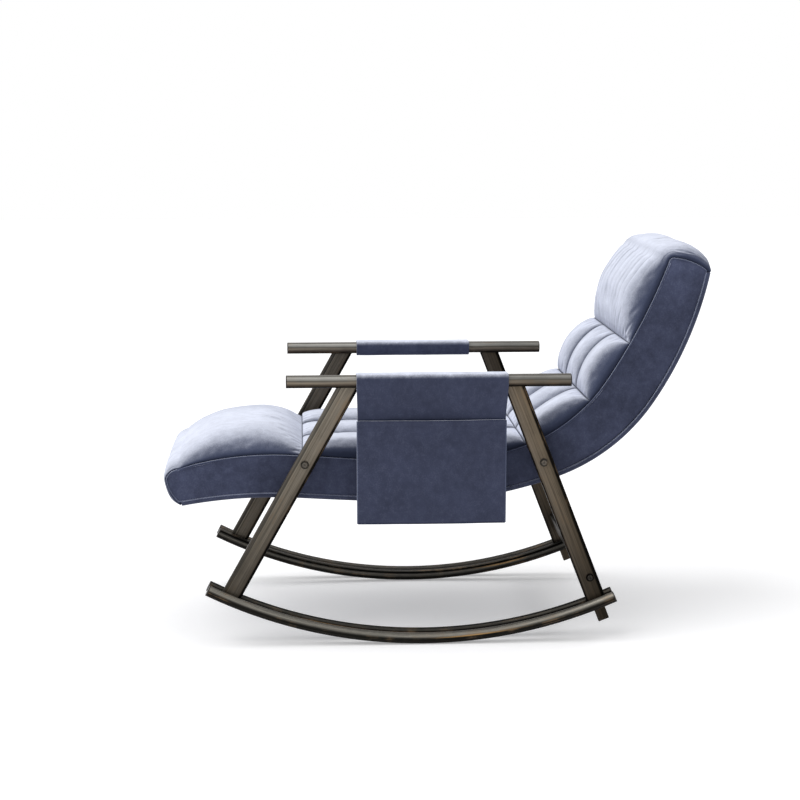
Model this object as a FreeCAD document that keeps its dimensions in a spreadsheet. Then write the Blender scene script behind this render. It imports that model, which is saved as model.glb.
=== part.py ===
import FreeCAD, Part
import math
import os

import Sketcher

# Rocking lounge chair: steel tube frame on curved runners, with one long padded seat.
# The chair faces -Y, its left side is +X and +Z is up. The origin is on the floor, on the
# centre plane, under the centre of the runners' curve, where they touch the floor.

os.makedirs("parts", exist_ok=True)
doc = FreeCAD.newDocument("rocking_lounge_chair")
Vector = FreeCAD.Vector
Rotation = FreeCAD.Rotation

# Driving dimensions, in millimetres and degrees
dimensions = [
    ("side_spacing", 580, "distance between the planes of the two side frames"),
    ("tube_wall", 1.5, "wall of every steel tube"),
    ("fit_gap", 0.3, "clearance of plugs in tubes and of cloth round tubes"),
    ("armrest_height", 604, "height of the armrest's axis"),
    ("armrest_front", 312, "front end of the armrest, ahead of the origin"),
    ("armrest_rear", 331, "rear end of the armrest, behind the origin"),
    ("armrest_width", 38, "flat oval section, across"),
    ("armrest_depth", 27, "flat oval section, upright"),
    ("armrest_corner", 12, "corner radius of the flat oval"),
    ("leg_width", 44, "leg section, seen from the side"),
    ("leg_thickness", 18, "leg section, across the chair"),
    ("leg_corner", 4, "corner radius of legs and stretcher"),
    ("leg_reach", 8, "how far a leg runs past the runner's centre line"),
    ("front_lean", 29.3, "front leg from the vertical"),
    ("rear_lean", 21.2, "rear leg from the vertical"),
    ("runner_radius", 1085, "centre line of the curved runners"),
    ("runner_tube", 25, "diameter of the runner tube"),
    ("runner_front_angle", 26.9, "arc of the runner ahead of the origin"),
    ("runner_rear_angle", 23.6, "arc of the runner behind the origin"),
    ("cap_plate", 2.5, "visible thickness of an end cap"),
    ("cap_spigot", 12, "depth of an end cap's spigot"),
    ("stop_width", 25.5, "tilt stop, seen from the side"),
    ("stop_drop", 33, "tilt stop below the runner"),
    ("stop_grip", 40, "tilt stop inside the leg"),
    ("seat_bolt_height", 416, "height of the four seat bolts"),
    ("seat_bolt_front", 271, "front seat bolts, ahead of the origin"),
    ("seat_bolt_rear", 271, "rear seat bolts, behind the origin"),
    ("bolt_diameter", 8, "shank of every bolt"),
    ("bolt_head", 11.5, "diameter of a bolt head"),
    ("bolt_head_height", 3.5, "height of a bolt head"),
    ("bolt_socket", 5, "hex socket, across flats"),
    ("washer_diameter", 19, "washer under a bolt head"),
    ("washer_thickness", 1.6, "washer under a bolt head"),
    ("bolt_hole_gap", 0.3, "radial clearance of bolt holes"),
    ("stretcher_height", 146.5, "height of the rear stretcher's axis"),
    ("stretcher_setback", 4.5, "stretcher's axis behind the rear leg's axis"),
    ("stretcher_depth", 50, "stretcher section along the leg"),
    ("stretcher_thickness", 18, "stretcher section across the leg"),
    ("cushion_width", 516, "padded seat, across"),
    ("band_cloth", 3, "cloth of the side bands and back panel, with its lining"),
    ("side_foam", 10.5, "foam board inside each side band"),
    ("top_foam", 18, "foam over the webbing"),
    ("webbing_room", 2, "room for the webbing between the foams"),
    ("webbing_thickness", 1.6, "elastic strap"),
    ("webbing_width", 50, "elastic strap"),
    ("webbing_pitch", 92, "spacing of the straps along the seat"),
    ("rail_depth", 30, "seat rail section, upright"),
    ("rail_thickness", 15, "seat rail section, across"),
    ("cross_tube", 22, "diameter of the seat's cross tubes"),
    ("bracket_thickness", 4, "plate welded on the rail"),
    ("bracket_width", 46, "plate along the seat"),
    ("bracket_margin", 2, "plate around its boss"),
    ("boss_diameter", 18, "threaded boss on the bracket plate"),
    ("spacer_diameter", 20, "sleeve between the seat and a leg"),
    ("pad_clearance", 0.3, "pads above the foam under them"),
    ("lobe_spacing", 170, "distance between the sewn channels"),
    ("pad_shoulder", 55, "rounded side of a pad"),
    ("foot_seam", 282.5, "cross seam behind the foot bolster, along the seat"),
    ("seat_seam", 797, "cross seam between seat and lower back"),
    ("back_seam", 977, "cross seam between lower and upper back"),
    ("head_seam", 1137.5, "cross seam under the headrest"),
    ("sleeve_thickness", 4, "padded cloth round the armrest"),
    ("left_sleeve_front", 154, "front edge of the left sleeve, ahead of the origin"),
    ("left_sleeve_rear", 184, "rear edge of the left sleeve"),
    ("right_sleeve_front", 136, "front edge of the right sleeve, ahead of the origin"),
    ("right_sleeve_rear", 150, "rear edge of the right sleeve"),
    ("pocket_bottom", 281, "lower edge of the hanging cloth"),
    ("pocket_mouth", 518, "upper edge of the pocket"),
    ("pocket_cloth", 3, "cloth of the hanging ply and of the pocket"),
    ("pocket_belly", 8, "room inside the pocket at its middle"),
    ("pocket_seam", 4, "sewn margin at the pocket's sides"),
]

sheet = doc.addObject("Spreadsheet::Sheet", "sizes")
for row, (alias, value, note) in enumerate(dimensions, start=1):
    sheet.set("A%d" % row, note)
    sheet.set("B%d" % row, str(value))
    sheet.setAlias("B%d" % row, alias)
doc.recompute()


def cell(alias):
    return float(sheet.get(alias))


def work_out(expression):
    return float(sheet.evalExpression(expression))


sub_parts = []


def sub_part(shape_object, label):
    shape_object.Label = label
    sub_parts.append(shape_object)
    return shape_object


# Outlines of the padded seat in the side plane, as runs of (length, turn in degrees)
# that start at a point with a heading. The seam line is the upper edge of the side band,
# the under line is its lower and rear edge.
seam_start, seam_heading = (-556.0, 399.6), 20.6
seam_runs = [(45.0, -7.9), (210.0, -16.0), (156.5, -1.4), (295.5, 12.0), (327.5, 48.9), (305.5, 13.4)]
under_start, under_heading = (-550.7, 317.2), 10.1
under_runs = [(270.0, -13.7), (229.5, 1.3), (368.0, 22.1), (280.0, 36.4), (322.0, 22.3)]
nose_front, nose_side, nose_corner = (-586.5, 378.0), (-575.5, 345.0), (-578.5, 392.0)
head_corner_size, head_top = 11.0, (608.0, 866.0)


def arc_runs(start, heading, runs, offset=0.0):
    # Each run as (start point, start heading in radians, length, turn), moved to its left by offset.
    placed = []
    angle = math.radians(heading)
    y = start[0] - offset * math.sin(angle)
    z = start[1] + offset * math.cos(angle)
    for length, turn_degrees in runs:
        turn = math.radians(turn_degrees)
        moved = length - offset * turn
        placed.append(((y, z), angle, moved, turn))
        radius = moved / turn
        y += radius * (math.sin(angle + turn) - math.sin(angle))
        z -= radius * (math.cos(angle + turn) - math.cos(angle))
        angle += turn
    return placed


def along(run, part):
    # Point and heading at a share of one run.
    (y, z), angle, length, turn = run
    radius = length / turn
    end = angle + turn * part
    return Vector(y + radius * (math.sin(end) - math.sin(angle)),
                  z - radius * (math.cos(end) - math.cos(angle)), 0), end


def run_arcs(runs, lengths, first=0.0, last=1e9):
    # Arcs between two stations, which are measured on the line without offset.
    arcs = []
    station = 0.0
    for run, length in zip(runs, lengths):
        low = max(0.0, (first - station) / length)
        high = min(1.0, (last - station) / length)
        if high - low > 1e-6:
            ends = [along(run, share)[0] for share in (low, (low + high) / 2, high)]
            arcs.append(Part.Arc(*ends))
        station += length
    return arcs


def seam_arcs(offset, first=0.0, last=1e9):
    placed = arc_runs(seam_start, seam_heading, seam_runs, offset)
    return run_arcs(placed, [length for length, turn in seam_runs], first, last)


def under_arcs(offset):
    placed = arc_runs(under_start, under_heading, under_runs, offset)
    return run_arcs(placed, [length for length, turn in under_runs])


def seam_point(station, offset=0.0):
    # Point and heading on the seam line at a station, moved to its left by offset.
    placed = arc_runs(seam_start, seam_heading, seam_runs, offset)
    for run, (length, turn) in zip(placed, seam_runs):
        if station <= length or run is placed[-1]:
            return along(run, station / length)
        station -= length


seam_length = sum(length for length, turn in seam_runs)


def reverse(arcs):
    return [Part.Arc(arc.EndPoint, arc.value((arc.FirstParameter + arc.LastParameter) / 2), arc.StartPoint)
            for arc in reversed(arcs)]


def band(lower, upper, first=0.0, last=None):
    # Closed outline between two offsets of the seam line.
    last = seam_length if last is None else last
    below = seam_arcs(lower, first, last)
    above = reverse(seam_arcs(upper, first, last))
    return below + [Part.LineSegment(below[-1].EndPoint, above[0].StartPoint)] + above + [
        Part.LineSegment(above[-1].EndPoint, below[0].StartPoint)]


def front_outline(grow):
    # Nose, seam line and head end as one open line, grown outwards.
    seam = seam_arcs(grow)
    nose_bottom = under_arcs(0.0)[0].StartPoint
    nose = [Vector(y - grow, z, 0) for y, z in (nose_side, nose_front, nose_corner)]
    head_end = under_arcs(0.0)[-1].EndPoint
    tip = seam[-1].EndPoint
    bend = Vector(tip.x + head_corner_size * 0.35, tip.y + head_corner_size * 0.85, 0)
    shoulder = Vector(tip.x + head_corner_size * 1.3, tip.y + head_corner_size, 0)
    return [Part.Arc(nose_bottom, nose[0], nose[1]), Part.Arc(nose[1], nose[2], seam[0].StartPoint)] + seam + [
        Part.Arc(tip, bend, shoulder),
        Part.Arc(shoulder, Vector(head_top[0] + grow, head_top[1] + grow, 0), head_end)]


def seat_outline(raise_under, grow=0.0):
    # Closed side view of the seat body, with its under line raised and its front grown.
    front = front_outline(grow)
    under = reverse(under_arcs(raise_under))
    links = []
    if raise_under:
        links = [Part.LineSegment(front[-1].EndPoint, under[0].StartPoint)]
        under.append(Part.LineSegment(under[-1].EndPoint, front[0].StartPoint))
    return front + links + under


# Building blocks


def add_outline(sketch, outline):
    # Adds a closed outline to a sketch and ties its pieces together where their ends meet.
    sketch.addGeometry(outline, False)
    count = len(outline)
    for index in range(count):
        following = (index + 1) % count
        meeting = outline[index].EndPoint
        ends = []
        for piece in (index, following):
            gaps = [(sketch.getPoint(piece, position) - meeting).Length for position in (1, 2)]
            ends += [piece, 1 + gaps.index(min(gaps))]
        sketch.addConstraint(Sketcher.Constraint("Coincident", *ends))


def body_plane(body, role):
    return next(plane for plane in body.Origin.OriginFeatures if plane.Role == role)


def new_sketch(body, role):
    sketch = body.newObject("Sketcher::SketchObject", body.Name + "_sketch")
    sketch.AttachmentSupport = (body_plane(body, role), [""])
    sketch.MapMode = "FlatFace"
    return sketch


def pad(body, sketch, length, middle=False):
    feature = body.newObject("PartDesign::Pad", body.Name + "_pad")
    feature.Profile = sketch
    feature.setExpression("Length", length)
    feature.Midplane = middle
    body.Tip = feature
    return feature


def profile_body(name, outline, length, centre_x=0.0):
    # An outline in the side plane, padded across the chair by the same amount both ways.
    body = doc.addObject("PartDesign::Body", name)
    sketch = new_sketch(body, "YZ_Plane")
    add_outline(sketch, outline)
    pad(body, sketch, length, middle=True)
    body.Placement = FreeCAD.Placement(Vector(centre_x, 0, 0), Rotation())
    return body


def rounded_rectangle(sketch, width, height, corner):
    # A rectangle with round corners, centred on the origin and driven by expressions.
    half_width, half_height, radius = work_out(width) / 2, work_out(height) / 2, work_out(corner)
    first = sketch.GeometryCount
    in_width, in_height = half_width - radius, half_height - radius
    lines = [((-in_width, -half_height), (in_width, -half_height)),
             ((half_width, -in_height), (half_width, in_height)),
             ((in_width, half_height), (-in_width, half_height)),
             ((-half_width, in_height), (-half_width, -in_height))]
    for start, end in lines:
        sketch.addGeometry(Part.LineSegment(Vector(*start, 0), Vector(*end, 0)), False)
    centres = [(in_width, -in_height), (in_width, in_height), (-in_width, in_height), (-in_width, -in_height)]
    for quarter, centre in enumerate(centres):
        circle = Part.Circle(Vector(*centre, 0), Vector(0, 0, 1), radius)
        start = math.radians(90 * (quarter - 1))
        sketch.addGeometry(Part.ArcOfCircle(circle, start, start + math.pi / 2), False)
    for index in range(4):
        sketch.addConstraint(Sketcher.Constraint("Tangent", first + index, 2, first + 4 + index, 1))
        sketch.addConstraint(Sketcher.Constraint("Tangent", first + 4 + index, 2, first + (index + 1) % 4, 1))
        sketch.addConstraint(Sketcher.Constraint("Vertical" if index % 2 else "Horizontal", first + index))
    for index in (5, 6, 7):
        sketch.addConstraint(Sketcher.Constraint("Equal", first + 4, first + index))
    sketch.addConstraint(Sketcher.Constraint("Symmetric", first + 4, 3, first + 6, 3, -1, 1))
    driven = [("Radius", (first + 4,), radius, corner),
              ("DistanceX", (first + 3, 1, first + 1, 1), 2 * half_width, width),
              ("DistanceY", (first, 1, first + 2, 1), 2 * half_height, height)]
    for kind, places, value, expression in driven:
        index = sketch.addConstraint(Sketcher.Constraint(kind, *places, value))
        sketch.setExpression("Constraints[%d]" % index, expression)


def box_tube(name, width, height, corner, length, hollow=True):
    # A rounded rectangular tube or bar along its own Z.
    body = doc.addObject("PartDesign::Body", name)
    sketch = new_sketch(body, "XY_Plane")
    rounded_rectangle(sketch, width, height, corner)
    if hollow:
        rounded_rectangle(sketch, "%s - 2 * sizes.tube_wall" % width, "%s - 2 * sizes.tube_wall" % height,
                          "%s - sizes.tube_wall" % corner)
    pad(body, sketch, length)
    return body


def cylinder(name, diameter, length):
    shape = doc.addObject("Part::Cylinder", name)
    shape.setExpression("Radius", "(%s) / 2" % diameter)
    shape.setExpression("Height", length)
    return shape


def box(name, low, high):
    shape = doc.addObject("Part::Box", name)
    shape.Length, shape.Width, shape.Height = (top - bottom for bottom, top in zip(low, high))
    shape.Placement.Base = Vector(*low)
    return shape


def fuse(name, shapes):
    joined = doc.addObject("Part::MultiFuse", name)
    joined.Shapes = shapes
    return joined


def cut(name, base, tools):
    result = doc.addObject("Part::Cut", name)
    result.Base = base
    result.Tool = tools[0] if len(tools) == 1 else fuse(name + "_tools", tools)
    return result


def group(name, shapes):
    together = doc.addObject("Part::Compound", name)
    together.Links = shapes
    return together


def place(shape, base, rotation=None):
    shape.Placement = FreeCAD.Placement(Vector(*base), rotation or Rotation())
    return shape


# Turns that point a piece's own Z along +Y or +X
along_y = Rotation(Vector(1, 0, 0), -90)
along_x = Rotation(Vector(0, 1, 0), 90)


# Derived places that several pieces share
side_x = cell("side_spacing") / 2
armrest_underside = cell("armrest_height") - cell("armrest_depth") / 2
runner_centre_height = cell("runner_radius") + cell("runner_tube") / 2
leg_outer_x = side_x + cell("leg_thickness") / 2
leg_inner_x = side_x - cell("leg_thickness") / 2
cushion_half = cell("cushion_width") / 2
rail_outer_x = cushion_half - cell("band_cloth") - cell("side_foam") - cell("bracket_thickness")
rail_centre_x = rail_outer_x - cell("rail_thickness") / 2
rail_top = cell("top_foam") + cell("webbing_room")
rail_middle = rail_top + cell("rail_depth") / 2
sides = (("left", 1), ("right", -1))


class LegLine:
    # The axis of a leg in the side plane: through its seat bolt, at its lean.
    def __init__(self, bolt_y, lean):
        self.bolt_y = bolt_y
        self.lean = math.radians(lean)
        self.bolt_z = cell("seat_bolt_height")
        self.direction = (math.sin(self.lean), math.cos(self.lean))
        dy, dz = bolt_y, self.bolt_z - runner_centre_height
        across = dy * self.direction[0] + dz * self.direction[1]
        self.runner = -across - math.sqrt(across ** 2 - dy ** 2 - dz ** 2 + cell("runner_radius") ** 2)
        self.foot = self.runner - cell("leg_reach")
        slant = cell("leg_width") / 2 * abs(math.tan(self.lean))
        self.top = (armrest_underside - self.bolt_z) / self.direction[1] + slant + 1

    def point(self, distance):
        return (self.bolt_y + distance * self.direction[0], self.bolt_z + distance * self.direction[1])

    def rotation(self):
        return Rotation(Vector(1, 0, 0), -math.degrees(self.lean))


front_line = LegLine(-cell("seat_bolt_front"), cell("front_lean"))
rear_line = LegLine(cell("seat_bolt_rear"), -cell("rear_lean"))
stretcher_distance = (cell("stretcher_height") - rear_line.bolt_z) / rear_line.direction[1]
stretcher_y = rear_line.point(stretcher_distance)[0] + cell("stretcher_setback")
seat_bolts = [(front_line.bolt_y, front_line.bolt_z), (rear_line.bolt_y, rear_line.bolt_z)]


# Armrests and their end caps
def armrest(side, sign):
    length = "sizes.armrest_front + sizes.armrest_rear - 2 * sizes.cap_plate"
    tube = box_tube(side + "_armrest", "sizes.armrest_width", "sizes.armrest_depth",
                    "sizes.armrest_corner", length)
    place(tube, (sign * side_x, -cell("armrest_front") + cell("cap_plate"), cell("armrest_height")), along_y)
    sub_part(tube, side + "_armrest")


def spigot(name, width, height, corner, depth):
    # A plug that fits inside a tube of this outer section.
    room = "2 * sizes.tube_wall - 2 * sizes.fit_gap"
    return box_tube(name, "%s - %s" % (width, room), "%s - %s" % (height, room),
                    "%s - sizes.tube_wall - sizes.fit_gap" % corner, depth, hollow=False)


def armrest_caps(side, sign):
    section = ("sizes.armrest_width", "sizes.armrest_depth", "sizes.armrest_corner")
    caps = []
    for end, y, flip in (("front", -cell("armrest_front"), 1), ("rear", cell("armrest_rear"), -1)):
        name = "%s_armrest_%s_cap" % (side, end)
        plate = box_tube(name + "_plate", *section, "sizes.cap_plate", hollow=False)
        plug = spigot(name + "_plug", *section, "sizes.cap_plate + sizes.cap_spigot")
        cap = fuse(name, [plate, plug])
        place(cap, (sign * side_x, y, cell("armrest_height")), Rotation(Vector(1, 0, 0), -90 * flip))
        caps.append(cap)
    sub_part(group(side + "_armrest_caps", caps), side + "_armrest_caps")


# Legs, with mitred tops under the armrest and bolt holes
def leg(side, sign, end, line, holes):
    name = "%s_%s_leg" % (side, end)
    tube = box_tube(name + "_tube", "sizes.leg_thickness", "sizes.leg_width", "sizes.leg_corner",
                    "%f" % (line.top - line.foot))
    foot_y, foot_z = line.point(line.foot)
    place(tube, (sign * side_x, foot_y, foot_z), line.rotation())
    reach = cell("leg_width") * 2
    top_y = line.point(line.top)[0]
    above = box(name + "_mitre", (sign * side_x - reach, top_y - reach, armrest_underside),
                (sign * side_x + reach, top_y + reach, armrest_underside + reach))
    tools = [above]
    for number, (y, z) in enumerate(holes):
        hole = cylinder("%s_hole_%d" % (name, number), "sizes.bolt_diameter + 2 * sizes.bolt_hole_gap",
                        "sizes.leg_thickness * 2")
        place(hole, (sign * side_x - cell("leg_thickness"), y, z), along_x)
        tools.append(hole)
    sub_part(cut(name, tube, tools), name)


def front_leg_plug(side, sign):
    section = ("sizes.leg_thickness", "sizes.leg_width", "sizes.leg_corner")
    name = side + "_front_leg_plug"
    plate = box_tube(name + "_plate", *section, "sizes.tube_wall", hollow=False)
    plug = spigot(name + "_spigot", *section, "sizes.tube_wall + sizes.cap_spigot")
    cap = fuse(name, [plate, plug])
    foot_y, foot_z = front_line.point(front_line.foot - cell("tube_wall"))
    place(cap, (sign * side_x, foot_y, foot_z), front_line.rotation())
    return cap


def tilt_stop(side, sign):
    # A square bar in the rear leg's open end, which sticks out below the runners.
    name = side + "_tilt_stop"
    reach = cell("stop_drop") + cell("runner_tube") / 2 - cell("leg_reach")
    bar = box_tube(name, "sizes.leg_thickness - 2 * sizes.tube_wall - 2 * sizes.fit_gap", "sizes.stop_width",
                   "sizes.leg_corner - sizes.tube_wall", "%f" % (reach + cell("stop_grip")), hollow=False)
    end_y, end_z = rear_line.point(rear_line.foot - reach)
    place(bar, (sign * side_x, end_y, end_z), rear_line.rotation())
    sub_part(bar, name)


# Curved runners: two bars on each side, with the legs between them
def runner_bar(side, sign, lane, lane_sign):
    name = "%s_%s_runner" % (side, lane)
    sweep = "sizes.runner_front_angle + sizes.runner_rear_angle"
    body = doc.addObject("PartDesign::Body", name)
    sketch = new_sketch(body, "XZ_Plane")
    for diameter in ("sizes.runner_tube", "sizes.runner_tube - 2 * sizes.tube_wall"):
        index = sketch.GeometryCount
        centre = Vector(0, -cell("runner_radius"), 0)
        sketch.addGeometry(Part.Circle(centre, Vector(0, 0, 1), work_out(diameter) / 2), False)
        sketch.addConstraint(Sketcher.Constraint("PointOnObject", index, 3, -2))
        drop = sketch.addConstraint(Sketcher.Constraint("DistanceY", index, 3, -1, 1, cell("runner_radius")))
        sketch.setExpression("Constraints[%d]" % drop, "sizes.runner_radius")
        round_size = sketch.addConstraint(Sketcher.Constraint("Diameter", index, work_out(diameter)))
        sketch.setExpression("Constraints[%d]" % round_size, diameter)
    revolve = body.newObject("PartDesign::Revolution", name + "_sweep")
    revolve.Profile = sketch
    revolve.ReferenceAxis = (sketch, ["H_Axis"])
    revolve.setExpression("Angle", sweep)
    body.Tip = revolve
    x = sign * side_x + lane_sign * (cell("leg_thickness") + cell("runner_tube")) / 2
    place(body, (x, 0, runner_centre_height), Rotation(Vector(1, 0, 0), -cell("runner_front_angle")))
    sub_part(body, name)


def runner_caps(side, sign):
    caps = []
    ends = (("front", -cell("runner_front_angle"), -1), ("rear", cell("runner_rear_angle"), 1))
    for lane_sign in (1, -1):
        for end, angle, flip in ends:
            name = "%s_runner_%s_cap_%s" % (side, end, "outer" if lane_sign > 0 else "inner")
            plate = cylinder(name + "_plate", "sizes.runner_tube", "sizes.cap_plate")
            plug = cylinder(name + "_plug", "sizes.runner_tube - 2 * sizes.tube_wall - 2 * sizes.fit_gap",
                            "sizes.cap_spigot")
            place(plug, (0, 0, -cell("cap_spigot")))
            cap = fuse(name, [plate, plug])
            turn = math.radians(angle)
            x = sign * side_x + lane_sign * (cell("leg_thickness") + cell("runner_tube")) / 2
            y = cell("runner_radius") * math.sin(turn)
            z = runner_centre_height - cell("runner_radius") * math.cos(turn)
            place(cap, (x, y, z), Rotation(Vector(1, 0, 0), angle - 90 * flip))
            caps.append(cap)
    sub_part(group(side + "_runner_caps", caps), side + "_runner_caps")


# Rear stretcher with its threaded end plugs
def rear_stretcher():
    length = 2 * leg_inner_x
    tube = box_tube("rear_stretcher", "sizes.stretcher_depth", "sizes.stretcher_thickness", "sizes.leg_corner",
                    "%f" % length)
    turned = Rotation(Vector(1, 0, 0), cell("rear_lean")).multiply(along_x)
    place(tube, (-leg_inner_x, stretcher_y, cell("stretcher_height")), turned)
    sub_part(tube, "rear_stretcher")
    plugs = []
    for side, sign in sides:
        name = side + "_stretcher_plug"
        block = spigot(name + "_block", "sizes.stretcher_depth", "sizes.stretcher_thickness",
                       "sizes.leg_corner", "2 * sizes.cap_spigot")
        thread = cylinder(name + "_thread", "sizes.bolt_diameter + sizes.fit_gap", "2 * sizes.cap_spigot")
        plug = cut(name, block, [thread])
        start = leg_inner_x - 2 * cell("cap_spigot") if sign > 0 else -leg_inner_x
        place(plug, (start, stretcher_y, cell("stretcher_height")), turned)
        plugs.append(plug)
    sub_part(group("stretcher_plugs", plugs), "stretcher_plugs")


# Bolts with button heads and washers, seen on the outer face of the legs
def bolt(name, sign, y, z, tip_x):
    seat_x = leg_outer_x + cell("washer_thickness")
    shank = cylinder(name + "_shank", "sizes.bolt_diameter", "%f" % (seat_x - tip_x))
    head = cylinder(name + "_head", "sizes.bolt_head", "sizes.bolt_head_height")
    place(head, (0, 0, seat_x - tip_x))
    socket = doc.addObject("Part::Prism", name + "_socket")
    socket.Polygon = 6
    socket.setExpression("Circumradius", "sizes.bolt_socket / 2 / cos(30 deg)")
    socket.setExpression("Height", "sizes.bolt_head_height")
    place(socket, (0, 0, seat_x - tip_x + cell("bolt_head_height") * 0.3))
    solid = cut(name, fuse(name + "_blank", [shank, head]), [socket])
    if sign > 0:
        place(solid, (tip_x, y, z), along_x)
    else:
        place(solid, (-tip_x, y, z), Rotation(Vector(0, 1, 0), -90))
    return solid


def washer(name, sign, y, z):
    disc = cylinder(name + "_disc", "sizes.washer_diameter", "sizes.washer_thickness")
    bore = cylinder(name + "_bore", "sizes.bolt_diameter + 2 * sizes.bolt_hole_gap", "sizes.washer_thickness")
    ring = cut(name, disc, [bore])
    x = leg_outer_x if sign > 0 else -leg_outer_x - cell("washer_thickness")
    return place(ring, (x, y, z), along_x)


def fasteners():
    boss_tip = rail_outer_x + cell("bracket_thickness") * 2
    plug_tip = leg_inner_x - cell("cap_spigot") * 1.5
    seat_set, seat_washers, low_set, low_washers = [], [], [], []
    for side, sign in sides:
        for end, (y, z) in zip(("front", "rear"), seat_bolts):
            name = "%s_%s_seat_bolt" % (side, end)
            seat_set.append(bolt(name, sign, y, z, boss_tip))
            seat_washers.append(washer(name + "_washer", sign, y, z))
        name = side + "_stretcher_bolt"
        low_set.append(bolt(name, sign, stretcher_y, cell("stretcher_height"), plug_tip))
        low_washers.append(washer(name + "_washer", sign, stretcher_y, cell("stretcher_height")))
    sub_part(group("seat_bolts", seat_set), "seat_bolts")
    sub_part(group("seat_bolt_washers", seat_washers), "seat_bolt_washers")
    sub_part(group("stretcher_bolts", low_set), "stretcher_bolts")
    sub_part(group("stretcher_bolt_washers", low_washers), "stretcher_bolt_washers")


# Seat frame: bent side rails, cross tubes, bracket plates with threaded bosses, spacers
rail_first, rail_last, rail_end_room = 12.0, seam_length - 16.0, 6.0


def seat_rail(side, sign):
    name = side + "_seat_rail"
    wall = cell("tube_wall")
    outer = profile_body(name + "_outside",
                         band(-rail_top - cell("rail_depth"), -rail_top, rail_first, rail_last),
                         "sizes.rail_thickness", sign * rail_centre_x)
    inner = profile_body(name + "_inside",
                         band(-rail_top - cell("rail_depth") + wall, -rail_top - wall,
                              rail_first + wall, rail_last - wall),
                         "sizes.rail_thickness - 2 * sizes.tube_wall", sign * rail_centre_x)
    sub_part(cut(name, outer, [inner]), name)


cross_stations = (("foot", 34.0), ("thigh", 330.0), ("hip", 770.0), ("back", 1060.0), ("head", 1300.0))


def cross_tube_point(station):
    point, heading = seam_point(station, -rail_middle)
    return point.x, point.y


def cross_tube(name, station):
    body = doc.addObject("PartDesign::Body", name)
    sketch = new_sketch(body, "YZ_Plane")
    for diameter in ("sizes.cross_tube", "sizes.cross_tube - 2 * sizes.tube_wall"):
        index = sketch.GeometryCount
        sketch.addGeometry(Part.Circle(Vector(0, 0, 0), Vector(0, 0, 1), work_out(diameter) / 2), False)
        sketch.addConstraint(Sketcher.Constraint("Coincident", index, 3, -1, 1))
        round_size = sketch.addConstraint(Sketcher.Constraint("Diameter", index, work_out(diameter)))
        sketch.setExpression("Constraints[%d]" % round_size, diameter)
    pad(body, sketch, "%f" % (2 * (rail_outer_x - cell("rail_thickness"))), middle=True)
    y, z = cross_tube_point(station)
    place(body, (0, y, z))
    sub_part(body, name)


def bracket_place(y, z):
    # Station of a seat bolt along the seam line, and how far it lies below that line.
    station = min(range(int(seam_length)), key=lambda s: (seam_point(s)[0] - Vector(y, z, 0)).Length)
    return station, (seam_point(station)[0] - Vector(y, z, 0)).Length


bracket_reach = cell("boss_diameter") / 2 + cell("bracket_margin")
rail_reach = max([rail_top + cell("rail_depth")] +
                 [bracket_place(*spot)[1] + bracket_reach for spot in seat_bolts])


def seat_bracket(side, sign, end, y, z):
    # A plate on the rail's outer face with a threaded boss that reaches through the side band.
    name = "%s_%s_seat_bracket" % (side, end)
    station, below = bracket_place(y, z)
    half = cell("bracket_width") / 2
    low = max(rail_top + cell("rail_depth"), below + bracket_reach)
    high = max(cell("pad_clearance"), min(rail_top, below - bracket_reach))
    plate = profile_body(name + "_plate", band(-low, -high, station - half, station + half),
                         "sizes.bracket_thickness", sign * (rail_outer_x + cell("bracket_thickness") / 2))
    boss_root = rail_outer_x + cell("bracket_thickness")
    boss_end = cushion_half + cell("bracket_thickness")
    boss = cylinder(name + "_boss", "sizes.boss_diameter", "%f" % (boss_end - boss_root))
    thread = cylinder(name + "_thread", "sizes.bolt_diameter + sizes.fit_gap", "%f" % (boss_end - boss_root))
    start = boss_root if sign > 0 else -boss_end
    place(boss, (start, y, z), along_x)
    place(thread, (start, y, z), along_x)
    return cut(name, fuse(name + "_blank", [plate, boss]), [thread])


def seat_spacer(side, sign, end, y, z):
    name = "%s_%s_seat_spacer" % (side, end)
    boss_end = cushion_half + cell("bracket_thickness")
    length = "%f" % (leg_inner_x - boss_end)
    sleeve = cylinder(name + "_sleeve", "sizes.spacer_diameter", length)
    bore = cylinder(name + "_bore", "sizes.bolt_diameter + 2 * sizes.bolt_hole_gap", length)
    ring = cut(name, sleeve, [bore])
    return place(ring, (boss_end if sign > 0 else -leg_inner_x, y, z), along_x)


def brackets_and_spacers():
    brackets, spacers = [], []
    for side, sign in sides:
        for end, (y, z) in zip(("front", "rear"), seat_bolts):
            brackets.append(seat_bracket(side, sign, end, y, z))
            spacers.append(seat_spacer(side, sign, end, y, z))
    sub_part(group("seat_brackets", brackets), "seat_brackets")
    sub_part(group("seat_spacers", spacers), "seat_spacers")


def webbing():
    # Elastic straps across both rails, under the top foam.
    low = -rail_top + (cell("webbing_room") - cell("webbing_thickness")) / 2
    straps = []
    station = rail_first + cell("webbing_width")
    while station + cell("webbing_width") < rail_last:
        outline = band(low, low + cell("webbing_thickness"), station, station + cell("webbing_width"))
        straps.append(profile_body("strap_%d" % len(straps), outline, "%f" % (2 * rail_outer_x)))
        station += cell("webbing_pitch")
    sub_part(group("webbing", straps), "webbing")


# Foam, side bands and back panel. The cutters over them reach well past the seam line.
slope_room = 60.0


def boss_holes(name, x_low, x_high):
    holes = []
    for number, (y, z) in enumerate(seat_bolts):
        hole = cylinder("%s_boss_hole_%d" % (name, number), "sizes.boss_diameter + 2 * sizes.fit_gap",
                        "%f" % (x_high - x_low))
        holes.append(place(hole, (x_low, y, z), along_x))
    return holes


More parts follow.
